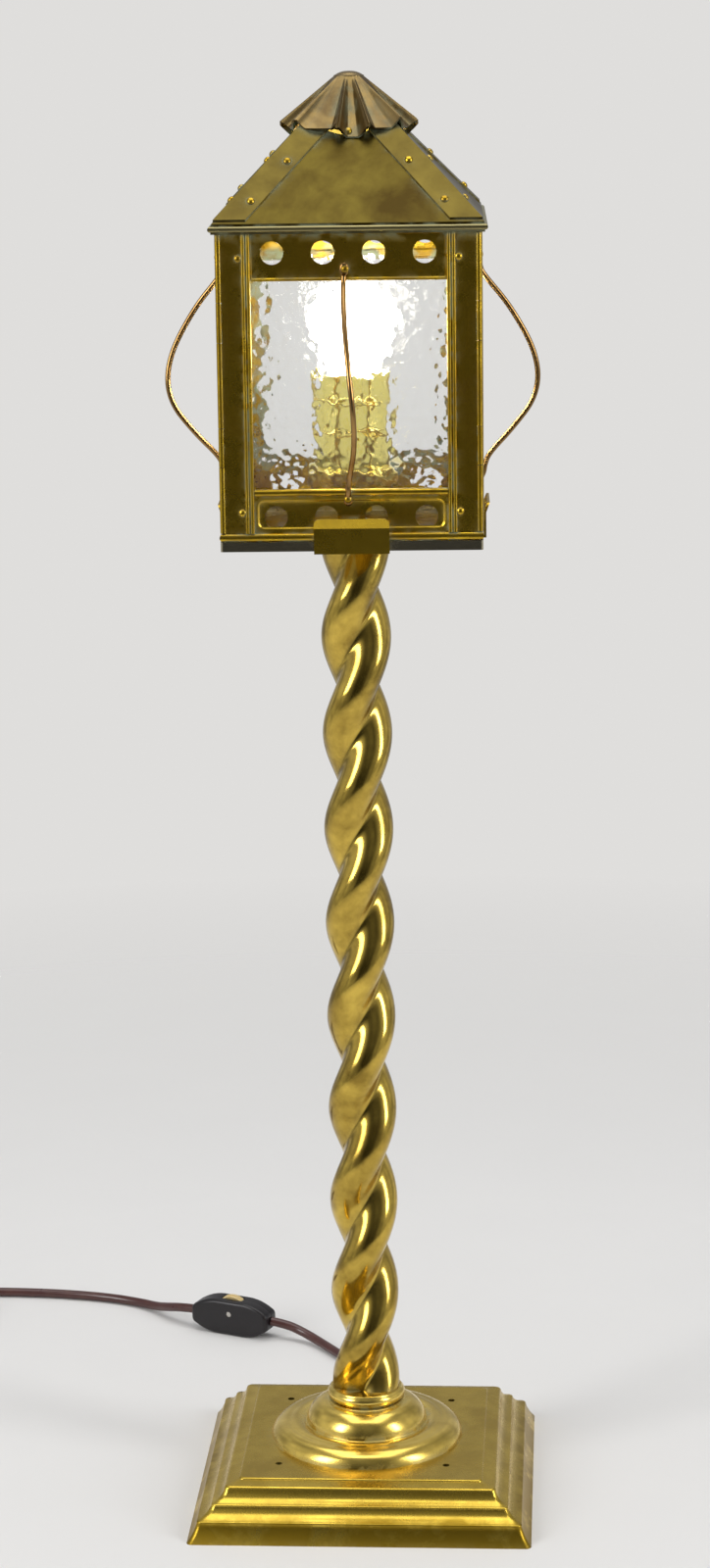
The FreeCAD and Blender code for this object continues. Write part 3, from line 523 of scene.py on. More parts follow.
def thicken(obj, thickness):
    """Give an open sheet its wall, on its inner side."""
    edit(obj.data, look_outwards)
    modifier = obj.modifiers.new("wall", "SOLIDIFY")
    modifier.thickness = thickness * MM
    modifier.offset = -1.0
    modifier.use_even_offset = True
    keep_modifiers(obj)
    edit(obj.data, shade)


def absorb(keep, others):
    """Join other objects' meshes into one object's."""
    def change(shape):
        for other in others:
            shape.from_mesh(other.data)
            bpy.data.objects.remove(other)

    edit(keep.data, change)


NODE_FINISHES = {"eave_bead": "eave_brass", "hip_strips": "strip_brass", "clip_cradle": "clip_brass",
                 "floor_tray": "tray_brass_bulb_lit"}


class LAMP_OT_finishes(bpy.types.Operator):
    """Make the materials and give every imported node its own"""
    bl_idname = "lamp.finishes"
    bl_label = "Finishes"

    def execute(self, context):
        make_materials()
        slots = {part["node"]: part["material_slot"] for part in frame["record"]["subparts"]}
        for name, obj in frame["nodes"].items():
            obj.data.materials.clear()
            obj.data.materials.append(MATERIALS[NODE_FINISHES.get(name, slots[name])])
        return {"FINISHED"}


# --- foot ---
FOOT_HALF = 88.0
PLATE_HALF = 62.0
PLATE_Z = 26.0
FOOT_SHEET = 1.2
FOOT_CORNER = 2.6           # radius of the soft mitres
PLATE_HOLE = (43.5, 1.8)    # offset from the middle, radius
BOSS_RADIUS = 50.7
BOSS_TOP = PLATE_Z + 20.0
TUBE_BORE = 5.2             # radius of the way for the threaded tube


def foot_profile():
    h, p = FOOT_HALF, PLATE_HALF
    return outline([(h, 0.0), ((h - 3.0, 4.6), (h - 4.8, 9.4)), ((h - 4.95, 10.1), (h - 5.6, 10.5)),
                    ((h - 9.4, 12.6), (h - 11.8, 15.8)), ((h - 11.95, 16.5), (h - 12.6, 16.9)),
                    ((h - 16.6, 19.3), (h - 18.2, 22.8)), ((h - 18.9, 23.8), (h - 20.2, 24.1)),
                    (p + 0.8, PLATE_Z - 0.8), ((p + 0.3, PLATE_Z - 0.15), (p - 0.5, PLATE_Z))], 5)


class LAMP_OT_foot(bpy.types.Operator):
    """Make the pressed square foot with its coves, soft mitres and plate"""
    bl_idname = "lamp.foot"
    bl_label = "Foot"

    def execute(self, context):
        rows = [[(x, y, z) for x, y in rounded_box(-h, -h, h, h, FOOT_CORNER, 4)]
                for h, z in foot_profile()]
        skirt = [v for row in rows for v in row], ring_faces(len(rows), len(rows[0]))
        offset, radius = PLATE_HOLE
        holes = [circle(x, y, radius, 20) for x in (-offset, offset) for y in (-offset, offset)]
        holes.append(circle(0, 0, BOSS_RADIUS - 6.0, 64))
        spots, plate = flat_fill([(x, y) for x, y, z in rows[-1]], holes)
        form = joined([skirt, ([(x, y, PLATE_Z) for x, y in spots], plate)])
        foot = mesh_piece("foot_pressing", turned(form, math.degrees(sizes().foot_turn)), "satin_brass",
                          "stand")
        thicken(foot, FOOT_SHEET)
        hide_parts("foot_shell")
        return {"FINISHED"}


class LAMP_OT_boss(bpy.types.Operator):
    """Spin the boss and the collar under the column"""
    bl_idname = "lamp.boss"
    bl_label = "Boss and collar"

    def execute(self, context):
        r, z, top = BOSS_RADIUS, PLATE_Z, BOSS_TOP
        skin = outline([(TUBE_BORE, top), (r - 31.2, top), ((r - 30.6, top - 0.1), (r - 30.1, top - 0.5)),
                        ((r - 21.4, z + 14.4), (r - 19.0, z + 7.9)),
                        ((r - 18.7, z + 7.5), (r - 18.2, z + 7.45)),
                        ((r - 14.6, z + 8.3), (r - 10.2, z + 7.8)), ((r - 2.6, z + 5.0), (r, z)),
                        (r - 1.0, z), ((r - 3.6, z + 4.4), (r - 10.6, z + 6.8)),
                        ((r - 14.9, z + 7.1), (r - 19.6, z + 6.4)),
                        ((r - 22.2, z + 13.9), (r - 30.9, top - 1.0)),
                        (TUBE_BORE, top - 1.0), (TUBE_BORE, top)], 10)
        boss = mesh_piece("foot_boss_spun", lathed(skin, 128), "polished_brass", "stand", 30, "spun_brass")
        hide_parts("foot_boss")
        low, high = foot_of("column_collar"), top_of("column_collar")
        ring = outline([(TUBE_BORE, low), (18.0, low), ((18.5, low + 0.1), (18.9, low + 0.6)),
                        ((20.4, (low + high) / 2), (18.9, high - 0.6)), ((18.5, high - 0.1), (18.0, high)),
                        (TUBE_BORE, high), (TUBE_BORE, low)], 8)
        collar = mesh_piece("column_collar_spun", lathed(ring, 96), "polished_brass", "stand", 30,
                            "spun_brass")
        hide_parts("column_collar")
        return {"FINISHED"}


# --- column ---
COLUMN_ROWS = 460
COLUMN_SIDES = 80
CREASE = 0.27               # softness of the crease between the strands


class LAMP_OT_column(bpy.types.Operator):
    """Twist the two strands of the column"""
    bl_idname = "lamp.column"
    bl_label = "Twisted column"

    def execute(self, context):
        low, high, size = foot_of("twist_column"), top_of("twist_column"), sizes()
        strand = size.waist_width / 2 / MM
        apart = size.strand_width / 2 / MM - strand
        around = [2 * pi * k / COLUMN_SIDES for k in range(COLUMN_SIDES)]
        section = [apart * math.hypot(cos(a), CREASE) + math.sqrt(strand ** 2 - (apart * sin(a)) ** 2)
                   for a in around]
        verts = [(TUBE_BORE * cos(a), TUBE_BORE * sin(a), low) for a in around]
        for row in range(COLUMN_ROWS + 1):
            z = low + (high - low) * row / COLUMN_ROWS
            turn = 2 * pi * (z - low - size.lowest_bulge / MM) / (size.twist_pitch / MM)
            verts += [(r * cos(a + turn), r * sin(a + turn), z) for r, a in zip(section, around)]
        verts += [(TUBE_BORE * cos(a), TUBE_BORE * sin(a), z) for z in (high, low) for a in around]
        form = verts, ring_faces(COLUMN_ROWS + 4, COLUMN_SIDES)
        column = mesh_piece("twisted_strands", form, "polished_brass", "stand", 50)
        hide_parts("twist_column")
        return {"FINISHED"}


# --- lantern walls ---
RAIL_FACE = 62.4            # distance from the middle to the rails' face
STILE_FACE = 63.2
STILE_INNER = 46.9          # half the width of the window
RAIL_HALF = 60.3
RAIL_SHEET = 0.8
WALL_FOOT = 513.7
WALL_TOP = 661.9
WINDOW_LOW = 539.3
WINDOW_HIGH = 639.3
VENT_RADIUS = 5.6
VENT_PLACES = [-36.45, -12.15, 12.15, 36.45]
TOP_VENTS_Z = 652.7
LOW_VENTS_Z = 525.5
PANEL_HALF = 46.4           # half the width of the top rail's shallow panel
PANEL_DEPTH = 0.35
RECESS = (-45.6, 519.6, 45.6, 534.2)
RECESS_DEPTH = 0.8
RECESS_CORNER = 3.6
RECESS_SLOPE = 1.3          # width of the recess's soft edge
WINDOW_BEAD = 1.7
TOP_BEAD = 0.6
FOOT_BEAD = 2.1
FOOT_BEAD_PROUD = 0.9


def pressed_strip(low, high, steps, vents_z):
    """Strip of sheet between two heights, pressed in by steps of (ring, depth), with its row of vents."""
    rings = [(rounded_box(-RAIL_HALF, low, RAIL_HALF, high, 0.2), 0.0), *steps]
    verts = [(x, depth - RAIL_FACE, z) for ring, depth in rings for x, z in ring]
    last, depth = rings[-1]
    spots, flat = flat_fill(last, [circle(x, vents_z, VENT_RADIUS) for x in VENT_PLACES])
    return joined([(verts, ring_faces(len(rings), len(last))),
                   ([(x, depth - RAIL_FACE, z) for x, z in spots], flat)])


def recess_steps():
    x0, z0, x1, z1 = RECESS
    steps = []
    for share in (0.0, 0.25, 0.5, 0.75, 1.0):
        inset = RECESS_SLOPE * share
        ring = rounded_box(x0 + inset, z0 + inset, x1 - inset, z1 - inset, RECESS_CORNER - inset)
        steps.append((ring, RECESS_DEPTH * (1 - cos(pi * share)) / 2))
    return steps


def bar(profile, reach):
    """Bar along the front wall over a closed profile of (distance out, height)."""
    verts = [(sign * reach(out), -out, z) for sign in (-1, 1) for out, z in profile]
    size = len(profile)
    return verts, ring_faces(2, size) + [tuple(range(size)), tuple(range(size, 2 * size))]


def window_bead(radius, z):
    """Half-round bead along the window's edge, its flat side on the sheet."""
    profile = outline([(RAIL_FACE, z + radius), ((RAIL_FACE + radius, z), (RAIL_FACE, z - radius))], 10)
    return bar(profile, lambda out: STILE_INNER - 0.2)


def foot_roll():
    """Rolled bead along a wall's foot, mitred at the corners."""
    out, low, high = STILE_FACE + FOOT_BEAD_PROUD, WALL_FOOT, WALL_FOOT + 2 * FOOT_BEAD
    roll = outline([(out - FOOT_BEAD, low), ((out, low + FOOT_BEAD), (out - FOOT_BEAD, high))], 10)
    back = RAIL_FACE - RAIL_SHEET
    return bar([*roll, (back, high), (back, low)], lambda out: out)


class LAMP_OT_rails(bpy.types.Operator):
    """Press the top and bottom rails of the four walls"""
    bl_idname = "lamp.rails"
    bl_label = "Rails"

    def execute(self, context):
        panel = [(rounded_box(-PANEL_HALF + w, WINDOW_HIGH + 1.2 + 2 * w, PANEL_HALF - w, WALL_TOP - 0.4 - w,
                              0.6), depth) for w, depth in ((0.0, 0.0), (0.2, PANEL_DEPTH))]
        sheets = joined([pressed_strip(WINDOW_HIGH, WALL_TOP, panel, TOP_VENTS_Z),
                         pressed_strip(WALL_FOOT, WINDOW_LOW, recess_steps(), LOW_VENTS_Z)])
        beads = joined([window_bead(WINDOW_BEAD, WINDOW_LOW - WINDOW_BEAD),
                        window_bead(TOP_BEAD, WINDOW_HIGH + TOP_BEAD), foot_roll()])
        for side, turn in SIDES.items():
            rails = mesh_piece("rails_pressed_" + side, turned(sheets, turn), "antique_brass", "lantern")
            thicken(rails, RAIL_SHEET)
            absorb(rails, [mesh_piece("rail_beads", turned(beads, turn), "antique_brass", "lantern", 40)])
            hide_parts("wall_%s_rails" % side)
        return {"FINISHED"}


# --- guards ---
GUARD_RADIUS = 1.35
GUARD_ROUTE = [(-2.2, 1.0, 641.6), (-2.3, 1.2, 640.0), (-2.4, 2.6, 636.6), (-2.0, 16.3, 620.4),
               (0.4, 29.5, 596.0), (2.4, 29.5, 576.0), (2.0, 16.3, 559.0), (-0.2, 5.0, 547.5),
               (-1.2, 2.9, 542.0), (-1.4, 2.4, 538.0), (-1.5, 1.2, 536.0)]   # along, out, up
PALMS = [(-2.0, RAIL_FACE - 0.35, 644.6), (-1.5, RAIL_FACE - 0.8, 534.0)]
PALM_SIZE = (2.3, 0.9, 3.4)
PALM_SIDES = 20
PALM_ROWS = 5


def palm(x, out, z):
    """Flattened, rounded end of a guard wire, domed a little, lying on the rail."""
    wide, deep, tall = PALM_SIZE
    verts = []
    for row in range(PALM_ROWS):
        a = pi / 2 * row / (PALM_ROWS - 1)
        verts += [(x + wide * cos(a) * cos(b), -(out + deep * sin(a)), z + tall * cos(a) * sin(b))
                  for b in (2 * pi * k / PALM_SIDES for k in range(PALM_SIDES))]
    return verts, ring_faces(PALM_ROWS, PALM_SIDES)


def bent_line(name, points, radius, around, along):
    """Round wire or flex over given points in millimetres."""
    curve = bpy.data.curves.new(name, "CURVE")
    curve.dimensions = "3D"
    curve.bevel_depth = radius
    curve.bevel_resolution = around
    curve.resolution_u = along
    curve.use_fill_caps = True
    spline = curve.splines.new("NURBS")
    spline.points.add(len(points) - 1)
    for point, place in zip(spline.points, points):
        point.co = (*metres(place), 1)
    spline.order_u = 3
    spline.use_endpoint_u = True
    return put(name, curve)


class LAMP_OT_guards(bpy.types.Operator):
    """Bend the four bowed guard wires and flatten their ends"""
    bl_idname = "lamp.guards"
    bl_label = "Guard wires"

    def execute(self, context):
        route = [(along, -(RAIL_FACE + out), z) for along, out, z in GUARD_ROUTE], []
        ends = joined([palm(*place) for place in PALMS])
        for side, turn in SIDES.items():
            line = bent_line("guard_line", turned(route, turn)[0], GUARD_RADIUS * MM, 4, 8)
            data = evaluated(line)
            bpy.data.objects.remove(line)
            data.name = "guard_wire_" + side
            data.polygons.foreach_set("use_smooth", [True] * len(data.polygons))
            guard = put(data.name, data)
            absorb(guard, [mesh_piece("guard_palms", turned(ends, turn), "guard_wire", "lantern", 40)])
            dress(guard, "guard_wire", "lantern")
            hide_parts("guard_" + side)
        return {"FINISHED"}


# --- what repeats, by Geometry Nodes ---
def start_tree(name, inputs):
    """Geometry group with named inputs and a finish; gives the group, its inputs and its result."""
    tree = bpy.data.node_groups.new(name, "GeometryNodeTree")
    given = group_sockets(tree, "INPUT", {"Geometry": "Geometry", **inputs, "Finish": "Material"})
    return tree, given, group_sockets(tree, "OUTPUT", {"Geometry": "Geometry"})


def end_tree(tree, given, result, points, shape, rotation=None):
    """A shape on every point, made real and given the finish."""
    copies = add(tree, "GeometryNodeInstanceOnPoints", {"Points": points, "Instance": shape})
    if rotation:
        feed(copies.inputs, {"Rotation": rotation})
    real = add(tree, "GeometryNodeRealizeInstances", {0: copies.outputs[0]})
    dressed = add(tree, "GeometryNodeSetMaterial", {"Geometry": real.outputs[0],
                                                    "Material": given["Finish"]})
    feed(result, {0: dressed.outputs[0]})
    return tree


def run_tree(obj, tree, values):
    """Set the group's inputs by name, and keep the mesh that it makes."""
    modifier = obj.modifiers.new(tree.name, "NODES")
    modifier.node_group = tree
    for item in tree.interface.items_tree:
        if item.in_out == "INPUT" and item.name in values:
            modifier[item.identifier] = values[item.name]
    keep_modifiers(obj)


def rivet_tree():
    """Rivet heads on points, each turned to its point's aim."""
    tree, given, result = start_tree("rivet_heads", {"Head Radius": "Float", "Dome": "Float"})
    ball = add(tree, "GeometryNodeMeshUVSphere", {"Segments": 18, "Rings": 10, "Radius": 1.0})
    squash = add(tree, "ShaderNodeCombineXYZ", {"X": given["Head Radius"], "Y": given["Head Radius"],
                                                "Z": given["Dome"]})
    head = add(tree, "GeometryNodeTransform", {"Geometry": ball.outputs["Mesh"],
                                               "Scale": squash.outputs[0]})
    smooth = add(tree, "GeometryNodeSetShadeSmooth", {"Geometry": head.outputs["Geometry"]})
    aim = add(tree, "GeometryNodeInputNamedAttribute", {"Name": "aim"}, data_type="FLOAT_VECTOR")
    turn = add(tree, "FunctionNodeAlignRotationToVector", {"Vector": aim.outputs[0]}, axis="Z")
    return end_tree(tree, given, result, given["Geometry"], smooth.outputs[0], turn.outputs[0])


def rivets(name, tree, places, radius, dome, slot):
    """Rivet heads at (point, aim) places of the front, repeated on all four sides."""
    turns = [Matrix.Rotation(radians(turn), 3, "Z") for turn in SIDES.values()]
    mesh = bpy.data.meshes.new(name)
    mesh.from_pydata([metres(turn @ point) for turn in turns for point, aim in places], [], [])
    aims = mesh.attributes.new("aim", "FLOAT_VECTOR", "POINT")
    aims.data.foreach_set("vector", [c for turn in turns for point, aim in places for c in turn @ aim])
    obj = put(name, mesh)
    run_tree(obj, tree, {"Head Radius": radius * MM, "Dome": dome * MM,
                         "Finish": MATERIALS["antique_brass"]})
    dress(obj, slot, "lantern", "antique_brass")


STILE_RIVETS = [(x, z) for x in (-52.6, 52.6) for z in (650.3, 528.0)]
GUARD_RIVETS = [(-1.6, 0.5, 644.8), (-1.5, 0.0, 534.2)]     # along, proud of the rail, up
ROOF_RIVETS = [39.2, 56.2]      # distances from the middle
RIVET_FROM_HIP = 10.0


class LAMP_OT_rivets(bpy.types.Operator):
    """Set the rivets of the stiles, guards, roof strips and vent cap"""
    bl_idname = "lamp.rivets"
    bl_label = "Rivets"

    def execute(self, context):
        ahead, slope = Vector((0, -1, 0)), Vector((0, -ROOF_RISE, 1)).normalized()
        walls = [(Vector((x, -STILE_FACE, z)), ahead) for x, z in STILE_RIVETS]
        walls += [(Vector((x, -RAIL_FACE - proud, z)), ahead) for x, proud, z in GUARD_RIVETS]
        roof = [(Vector((sign * (half - RIVET_FROM_HIP), -half, strip_top(half))), slope)
                for half in ROOF_RIVETS for sign in (-1, 1)]
        tree = rivet_tree()
        rivets("wall_rivets", tree, walls, 1.9, 1.25, "antique_brass")
        rivets("roof_rivets", tree, roof + [cap_rivet()], 2.0, 1.4, "roof_brass")
        return {"FINISHED"}


# --- roof ---
ROOF_FOOT = 665.7
ROOF_REACH = 66.0           # where the roof faces would meet the foot's level
ROOF_RISE = 1.04
ROOF_SHEET = 0.8
STRIP_RUN = 15.5            # width of a hip strip, along the eave


def roof_z(half):
    return ROOF_FOOT + (ROOF_REACH - half) * ROOF_RISE


def strip_top(half):
    return roof_z(half) + ROOF_SHEET * math.hypot(1, ROOF_RISE)


# --- vent cap ---
RIDGES = [-49, -8, 17, 46, 79, 108, 135, 165, 195, 225, 254, 281]     # degrees from the front
CAP_SHEET = 1.15
CAP_LIFT = 0.35 + CAP_SHEET     # from the roof to the cap's outer face
CAP_HEIGHT = 23.8
CAP_SAG = 1.1               # hollow of a lobe between crown and lip
CAP_RIVET_SHARE = 0.9       # place of a rivet between crown and lip
CAP_COLUMNS = 480
CAP_ROWS = 26
CROWN_RADIUS = 7.2
CROWN_RISE = 2.2
RIDGE_TIP = 34.2
RIDGE_HEIGHT = 2.6          # least height of a ridge over the lobes beside it
RIDGE_HIP_REACH = 1.6       # how much further a ridge reaches over the hips
RIDGE_DROP = 1.8            # the ridges over the faces end lower than those over the hips
RIDGE_SPREAD = 8.5          # degrees from a ridge to the lobe beside it
RIDGE_SHARPNESS = 1.1
FACE_LOBE = 29.2
FACE_SPAN = 15              # degrees each way in which a lobe's middle lies over a roof face
HIP_LOBE = 31.5
HIP_LOBE_TURN = 33.0        # degrees from the front at which a hip's lobe rests on its strip
HIP_REACH = 4.6             # how much further the lip reaches over the hips
RIDGE_SEAT = strip_top(RIDGE_TIP * cos(pi / 4)) + CAP_LIFT
FACE_SEAT = roof_z(FACE_LOBE) + CAP_LIFT
HIP_SEAT = strip_top(HIP_LOBE * cos(radians(HIP_LOBE_TURN))) + CAP_LIFT
RIM_Z = RIDGE_SEAT + CAP_HEIGHT - CROWN_RISE


def over_roof(x, y):
    """Lowest height of the cap's outer face over the roof and its strips."""
    half, other = max(abs(x), abs(y)), min(abs(x), abs(y))
    on_strip = min(max((other - half + STRIP_RUN + 1.0) / 2, 0.0), 1.0)
    return roof_z(half) + (strip_top(half) - roof_z(half)) * on_strip + CAP_LIFT


def lip_at(angle):
    """Radius and height of the cap's lip, and its share of a ridge, in degrees from the front."""
    stops = RIDGES + [RIDGES[0] + 360]
    after = next(k for k, ridge in enumerate(stops) if ridge > angle)
    left, right = stops[after - 1], stops[after]
    over_face = abs(((left + right) / 2 + 45) % 90 - 45) < FACE_SPAN
    near = max(0.0, 1 - min(angle - left, right - angle) / RIDGE_SPREAD)
    rise = (1 - cos(pi * near ** RIDGE_SHARPNESS)) / 2
    hip = sin(2 * radians(angle)) ** 2
    reach = FACE_LOBE + HIP_REACH * hip
    seat = max(FACE_SEAT if over_face else HIP_SEAT,
               over_roof(reach * sin(radians(angle)), reach * cos(radians(angle))))
    top = max(RIDGE_SEAT - RIDGE_DROP * (1 - hip), seat + RIDGE_HEIGHT)
    return reach + (RIDGE_TIP + RIDGE_HIP_REACH * hip - reach) * rise, seat + (top - seat) * rise, rise


def cap_point(radius, height, rise, share):
    """Radius and height of the cap part of the way from its crown to its lip."""
    sag = CAP_SAG * sin(pi * share) * (1 - rise) * share
    return CROWN_RADIUS + (radius - CROWN_RADIUS) * share, RIM_Z + (height - RIM_Z) * share - sag


def cap_rivet():
    """Where the front lobe is riveted to the roof, and the way the rivet's head looks."""
    out, z = cap_point(FACE_LOBE, FACE_SEAT, 0.0, CAP_RIVET_SHARE)
    aim = Vector((0, FACE_SEAT - RIM_Z, FACE_LOBE - CROWN_RADIUS)).normalized()
    return Vector((0, -out, z)), aim


class LAMP_OT_vent_cap(bpy.types.Operator):
    """Crimp the vent cap into ridges and lobes and set its crown"""
    bl_idname = "lamp.vent_cap"
    bl_label = "Vent cap"

    def execute(self, context):
        around = [RIDGES[0] + 360 * k / CAP_COLUMNS for k in range(CAP_COLUMNS)]
        lips = [lip_at(angle) for angle in around]
        verts = []
        for row in range(CAP_ROWS + 1):
            for angle, lip in zip(around, lips):
                r, z = cap_point(*lip, row / CAP_ROWS)
                verts.append((r * sin(radians(angle)), -r * cos(radians(angle)), z))
        form = verts, ring_faces(CAP_ROWS + 1, CAP_COLUMNS)
        cap = mesh_piece("vent_cap_fluted", form, "roof_brass", "lantern", finish="cap_brass")
        thicken(cap, CAP_SHEET)
        r, z = CROWN_RADIUS, RIM_Z
        dome = outline([(0.001, z + CROWN_RISE), ((r * 0.62, z + CROWN_RISE * 0.72), (r - 0.2, z + 0.25)),
                        ((r + 0.25, z - 0.05), (r - 0.1, z - 0.5)), (r - 2.0, z - 0.6), (0.001, z - 0.6)], 8)
        absorb(cap, [mesh_piece("vent_cap_crown", lathed(dome, 72), "roof_brass", "lantern", 40)])
        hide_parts("vent_cap")
        return {"FINISHED"}


# --- switch, plug and strain relief ---
def inset_ring(ring, inset):
    """A plane ring drawn in by the same distance all round."""
    moved = []
    for k, (x, y) in enumerate(ring):
        (ax, ay), (bx, by) = ring[k - 1], ring[(k + 1) % len(ring)]
        run = math.hypot(bx - ax, by - ay) or 1.0
        moved.append((x - (by - ay) / run * inset, y + (bx - ax) / run * inset))
    return moved


def moulding(ring, low, high, low_round, high_round, steps=5):
    """Solid over an anticlockwise ring between two depths, its rims rounded."""
    turns = [pi / 2 * k / steps for k in range(steps + 1)]
    rows = [(low_round * (1 - sin(a)), low + low_round * (1 - cos(a))) for a in turns]
    rows += [(high_round * (1 - cos(a)), high - high_round * (1 - sin(a))) for a in turns]
    verts = [(x, y, depth) for inset, depth in rows for x, y in inset_ring(ring, inset)]
    size = len(ring)
    ends = [tuple(range(size)), tuple(range(len(verts) - size, len(verts)))]
    return verts, ring_faces(len(rows), size) + ends


def cut_away(obj, points, segments, place):
    """Cut a turned form out of a piece."""
    cutter = mesh_piece("cutter", lathed(points, segments), "switch_plastic", "stand")
    cutter.data.transform(place)
    modifier = obj.modifiers.new("cut", "BOOLEAN")
    modifier.object = cutter
    keep_modifiers(obj)
    bpy.data.objects.remove(cutter)


SWITCH_RIGHT = (-59.9, 200.5, 10.5)
SWITCH_LEFT = (-105.0, 221.0, 10.5)
SWITCH_HEIGHT = 21.0
SWITCH_THICKNESS = 14.0
SWITCH_EDGE = 2.2           # rounding of the outer rims
SWITCH_SEAM = 0.3           # rounding where the halves meet
WHEEL_RADIUS = 10.0
WHEEL_WIDTH = 4.0
WHEEL_RISE = 2.6
WHEEL_ROOM = 0.4
WHEEL_RIBS = 52
RIB_RADIUS = 0.36
SCREW_RADIUS = 1.6
SCREW_CHAMFER = 0.35


def switch_ring():
    """Outline of the switch from the side: one quarter, mirrored twice."""
    x, z = math.dist(SWITCH_RIGHT, SWITCH_LEFT) / 2, SWITCH_HEIGHT / 2
    quarter = outline([(x * 0.34, -z), ((x * 0.66, -z * 0.86), (x * 0.90, -z * 0.58)),
                       ((x * 0.975, -z * 0.44), (x, -z * 0.22))], 6)
    return mirrored(mirrored(quarter, 1, -1), -1, 1)


def switch_place():
    """From the switch's own frame (along, across, up) to where it lies."""
    right, left = Vector(SWITCH_RIGHT), Vector(SWITCH_LEFT)
    along = left - right
    heading = Matrix.Rotation(math.atan2(along.y, along.x), 4, "Z")
    return Matrix.Translation((left + right) / 2 * MM) @ heading


def rib_tree():
    """Fine ribs round a wheel."""
    tree, given, result = start_tree("wheel_ribs", {"Ribs": "Int", "Radius": "Float", "Width": "Float",
                                                    "Depth": "Float"})
    around = add(tree, "GeometryNodeMeshCircle", {"Vertices": given["Ribs"], "Radius": given["Radius"]})
    rib = add(tree, "GeometryNodeMeshCylinder", {"Vertices": 10, "Radius": given["Depth"],
                                                 "Depth": given["Width"]})
    return end_tree(tree, given, result, around.outputs["Mesh"], rib.outputs["Mesh"])


class LAMP_OT_switch(bpy.types.Operator):
    """Mould the two halves of the switch and rib its thumb wheel"""
    bl_idname = "lamp.switch"
    bl_label = "Switch"

    def execute(self, context):
        half, room, gap = SWITCH_THICKNESS / 2, WHEEL_RADIUS + WHEEL_ROOM, WHEEL_WIDTH / 2 + WHEEL_ROOM
        upright = Matrix.Rotation(pi / 2, 4, "X")
        axle = Matrix.Translation((0, 0, WHEEL_RISE * MM)) @ upright
        slot = mirrored([(0.001, -gap), (room, -gap)], 1, -1)
        screw_hole = mirrored([(0.001, -half - 1), (SCREW_RADIUS + SCREW_CHAMFER, -half - 1),
                               (SCREW_RADIUS, -half + 0.5)], 1, -1)
        for node, low, high, rounds in (("switch_front", 0.0, half, (SWITCH_SEAM, SWITCH_EDGE)),
                                        ("switch_back", -half, 0.0, (SWITCH_EDGE, SWITCH_SEAM))):
            case = mesh_piece(node.replace("switch", "switch_case"),
                              moulding(switch_ring(), low, high, *rounds), "switch_plastic", "stand")
            case.data.transform(upright)
            cut_away(case, slot, 64, axle)
            cut_away(case, screw_hole, 24, axle)
            case.data.transform(switch_place())
            edit(case.data, lambda shape: shade(shape, 30))
            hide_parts(node)
        r, w, hub = WHEEL_RADIUS, WHEEL_WIDTH / 2, SCREW_RADIUS + 0.05
        side = outline([(hub, -w), (r - 3.2, -w), (r - 2.8, -w + 0.5), (r - 1.4, -w + 0.5), (r - 1.0, -w),
                        ((r - 0.55, -w + 0.15), (r - 0.4, -w + 0.6))], 4)
        disc = [*mirrored(side, 1, -1), side[0]]
        wheel = mesh_piece("thumb_wheel", lathed(disc, 72), "wheel_plastic", "switch_wheel")
        ribs = put("wheel_ribs", bpy.data.meshes.new("wheel_ribs"))
        run_tree(ribs, rib_tree(), {"Ribs": WHEEL_RIBS, "Radius": (r - 0.4) * MM,
                                    "Width": (WHEEL_WIDTH - 0.9) * MM, "Depth": RIB_RADIUS * MM,
                                    "Finish": MATERIALS["wheel_plastic"]})
        absorb(wheel, [ribs])
        wheel.data.transform(switch_place() @ axle)
        edit(wheel.data, lambda shape: shade(shape, 30))
        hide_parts("switch_wheel")
        return {"FINISHED"}


PLUG_LENGTH = 36.0
PLUG_HALF = 12.0
PLUG_THICKNESS = 16.4
PLUG_EDGE = 3.0


class LAMP_OT_plug(bpy.types.Operator):
    """Mould the plug"""
    bl_idname = "lamp.plug"
    bl_label = "Plug"

    def execute(self, context):
        w, half = PLUG_HALF, PLUG_THICKNESS / 2
        side = outline([(-4.0, 0.0), ((-w * 0.8, -5.5), (-w, -15.0)), (-w, -PLUG_LENGTH)], 8)
        ring = mirrored(side, -1, 1)
        plug = mesh_piece("plug_moulding", moulding(ring, -half, half, PLUG_EDGE, PLUG_EDGE),
                          "plug_plastic", "stand", 30)
        plug.data.transform(Matrix.Translation(metres(plug_route()[-1])))
        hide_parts("plug_body")
        return {"FINISHED"}


RELIEF_LENGTH = 22.0
RELIEF_ROOT = 4.4           # radius where the strain relief leaves the foot
RELIEF_TIP = 3.1
RELIEF_IN_FOOT = 1.6
RELIEF_RIBS = 7
RELIEF_GROOVE = 0.35


def flex_start():
    """Where the flex leaves the foot, which is turned a little."""
    turn, (behind, height) = sizes().foot_turn, FOOT_EXIT
    return (-behind * sin(turn), behind * cos(turn), height)


